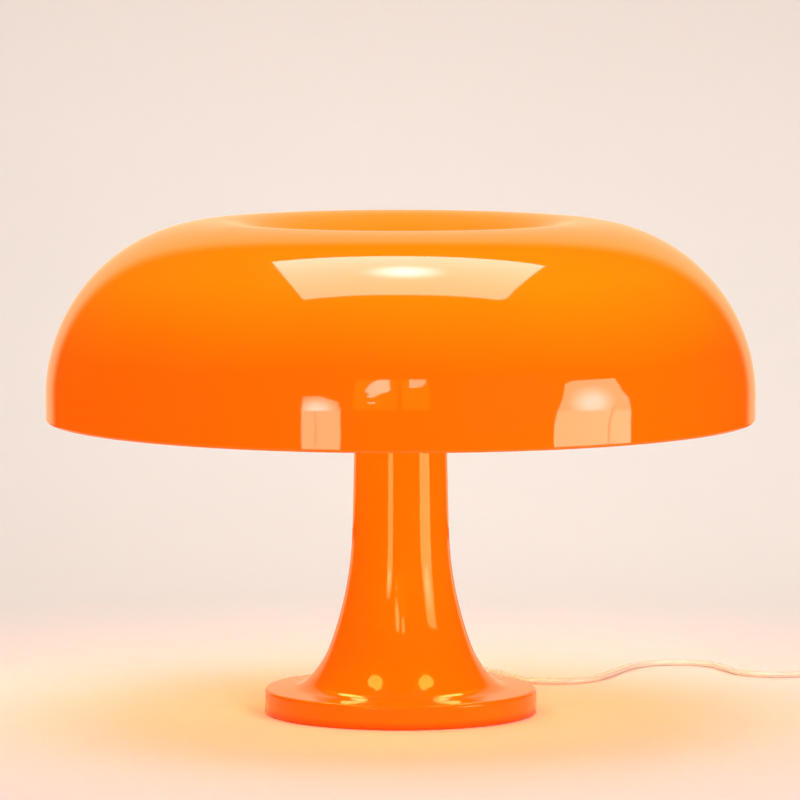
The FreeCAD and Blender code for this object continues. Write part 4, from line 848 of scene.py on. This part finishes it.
def make_softboxes():
    """Softboxes as they lie in the gloss of shade and stem: one overhead, one on each side."""
    card("overhead_softbox", [(x, y, OVERHEAD_Z) for x, y in OVERHEAD_OUTLINE],
         hot=(0.014, 0.137, OVERHEAD_Z), reach=0.16, inner=(COOL, 20.0), outer=(ROSE, 7.2))
    card("left_softbox_low", LEFT_LOW_OUTLINE,
         hot=(-0.65, -1.46, 0.05), reach=0.40, inner=(WARM, 7.8), outer=(WARM, 7.8))
    card("left_softbox_high", LEFT_HIGH_OUTLINE,
         hot=(-0.683, -1.447, 0.300), reach=0.22, inner=(COOL, 18.0), outer=(WARM, 4.5))
    card("right_softbox_low", RIGHT_LOW_OUTLINE,
         hot=(1.17, -0.67, 0.05), reach=0.40, inner=(WARM, 8.5), outer=(WARM, 8.5))
    card("right_softbox_high", RIGHT_HIGH_OUTLINE,
         hot=(1.173, -0.674, 0.281), reach=0.24, inner=(COOL, 18.0), outer=(WARM, 6.5))


def make_dip_flag():
    """A dim card over the dip, for the gloss of its walls."""
    points = [(-FLAG_HALF, FLAG_FRONT), (FLAG_HALF, FLAG_FRONT), (FLAG_HALF, FLAG_BACK),
              (-FLAG_HALF, FLAG_BACK)]
    card("dip_flag", [(x, y, FLAG_Z) for x, y in points],
         hot=(0.0, 0.0, FLAG_Z), reach=0.10, inner=(AMBER, 0.8), outer=(AMBER, 0.9))


def make_folds():
    """Folds in the cloth of the two side softboxes."""
    ribbon("right_fold", RIGHT_FOLD_LINE, across=(0.009, 0.018), light=(WARM, 5.0))
    ribbon("left_fold", LEFT_FOLD_LINE, across=(0.014, -0.007), light=(WARM, 5.0))


def make_front_window():
    """Two dim panes in front, with brighter patches on them."""
    for name, (left, right) in PANES.items():
        points = [(left, PANE_LOW), (right, PANE_LOW), (right, PANE_HIGH), (left, PANE_HIGH)]
        card(name, [(x, PANE_Y, z) for x, z in points], hot=(left, PANE_Y, PANE_HOT_Z),
             reach=0.5, inner=(PANE_YELLOW, 1.5), outer=(PANE_YELLOW, 1.2))
    for name, outline in PATCHES.items():
        card(name, [(x, PATCH_Y, z) for x, z in outline], hot=(-0.18, PATCH_Y, 0.70),
             reach=0.4, inner=(PATCH_HOT, 11.0), outer=(PATCH_EDGE, 8.0))


def make_gloss_paper():
    """The lit paper behind the lamp, as the gloss shows it."""
    size = GLOSS_SHEET
    points = [(-size, 0, 0), (size, 0, 0), (size, 0, size), (-size, 0, size)]
    sheet = add_mesh("paper_in_gloss", points, [(0, 1, 2, 3)])
    sheet.location.y = FLOOR_BACK + COVE_R
    sheet.scale = GLOSS_SCALE
    sheet.data.materials.append(
        glow("paper_in_gloss", (0.0, 0.0, 0.0), GLOSS_REACH, GLOSS_LIGHT, GLOSS_END, GLOSS_NEAR))
    reflected_only(sheet)


def make_room():
    """The dim room around the studio."""
    bpy.ops.mesh.primitive_uv_sphere_add(radius=ROOM_R, segments=48, ring_count=24)
    room = bpy.context.object
    room.name = "room"
    room.data.materials.append(
        glow("room", (0.0, 0.0, ROOM_R), 2 * ROOM_R, ROOM_ABOVE, ROOM_BELOW))
    reflected_only(room)


# ---------------------------------------------------------------- lamps
MID_LAMP = (0.0, 0.0, 0.15)
LOW_MID_LAMP = (0.0, 0.0, 0.1)
WALL_FOOT = (0.0, FLOOR_BACK + COVE_R, 0.1)


def area_lamp(name, place, target, size, power, spread=180.0):
    """A square lamp that the gloss doesn't show, turned to a point; its power is in watts."""
    data = bpy.data.lights.new(name, "AREA")
    data.size = size
    data.energy = power
    data.spread = math.radians(spread)
    lamp = bpy.data.objects.new(name, data)
    lamp.location = place
    lamp.rotation_euler = (Vector(place) - Vector(target)).to_track_quat("Z", "Y").to_euler()
    lamp.visible_glossy = False
    bpy.context.scene.collection.objects.link(lamp)


def make_lamps():
    area_lamp("overhead_lamp", place=(-0.05, 0.3, 1.7), target=LOW_MID_LAMP, size=1.4, power=18.5)
    area_lamp("front_lamp", place=(1.0, -1.5, 0.45), target=MID_LAMP, size=1.0, power=18.5)
    area_lamp("left_lamp", place=(-1.6, -0.3, 0.45), target=MID_LAMP, size=1.0, power=6.0)
    area_lamp("wall_lamp", place=(0.0, -0.35, 1.35), target=WALL_FOOT, size=0.5, power=0.48,
              spread=60.0)


# ---------------------------------------------------------------- everything together
make_camera()
make_lamp_cord(MATERIALS["cord_clear"], MATERIALS["wire"])
make_plug_cord(MATERIALS["cord_clear"], MATERIALS["wire"])
make_shade(MATERIALS["orange"])
make_moulding(MATERIALS["orange_stem"])
dress_nodes()
make_backdrop()
make_apron()
make_world()
make_lamps()
make_softboxes()
make_dip_flag()
make_folds()
make_front_window()
make_gloss_paper()
make_room()

bpy.context.scene.view_settings.view_transform = "Standard"
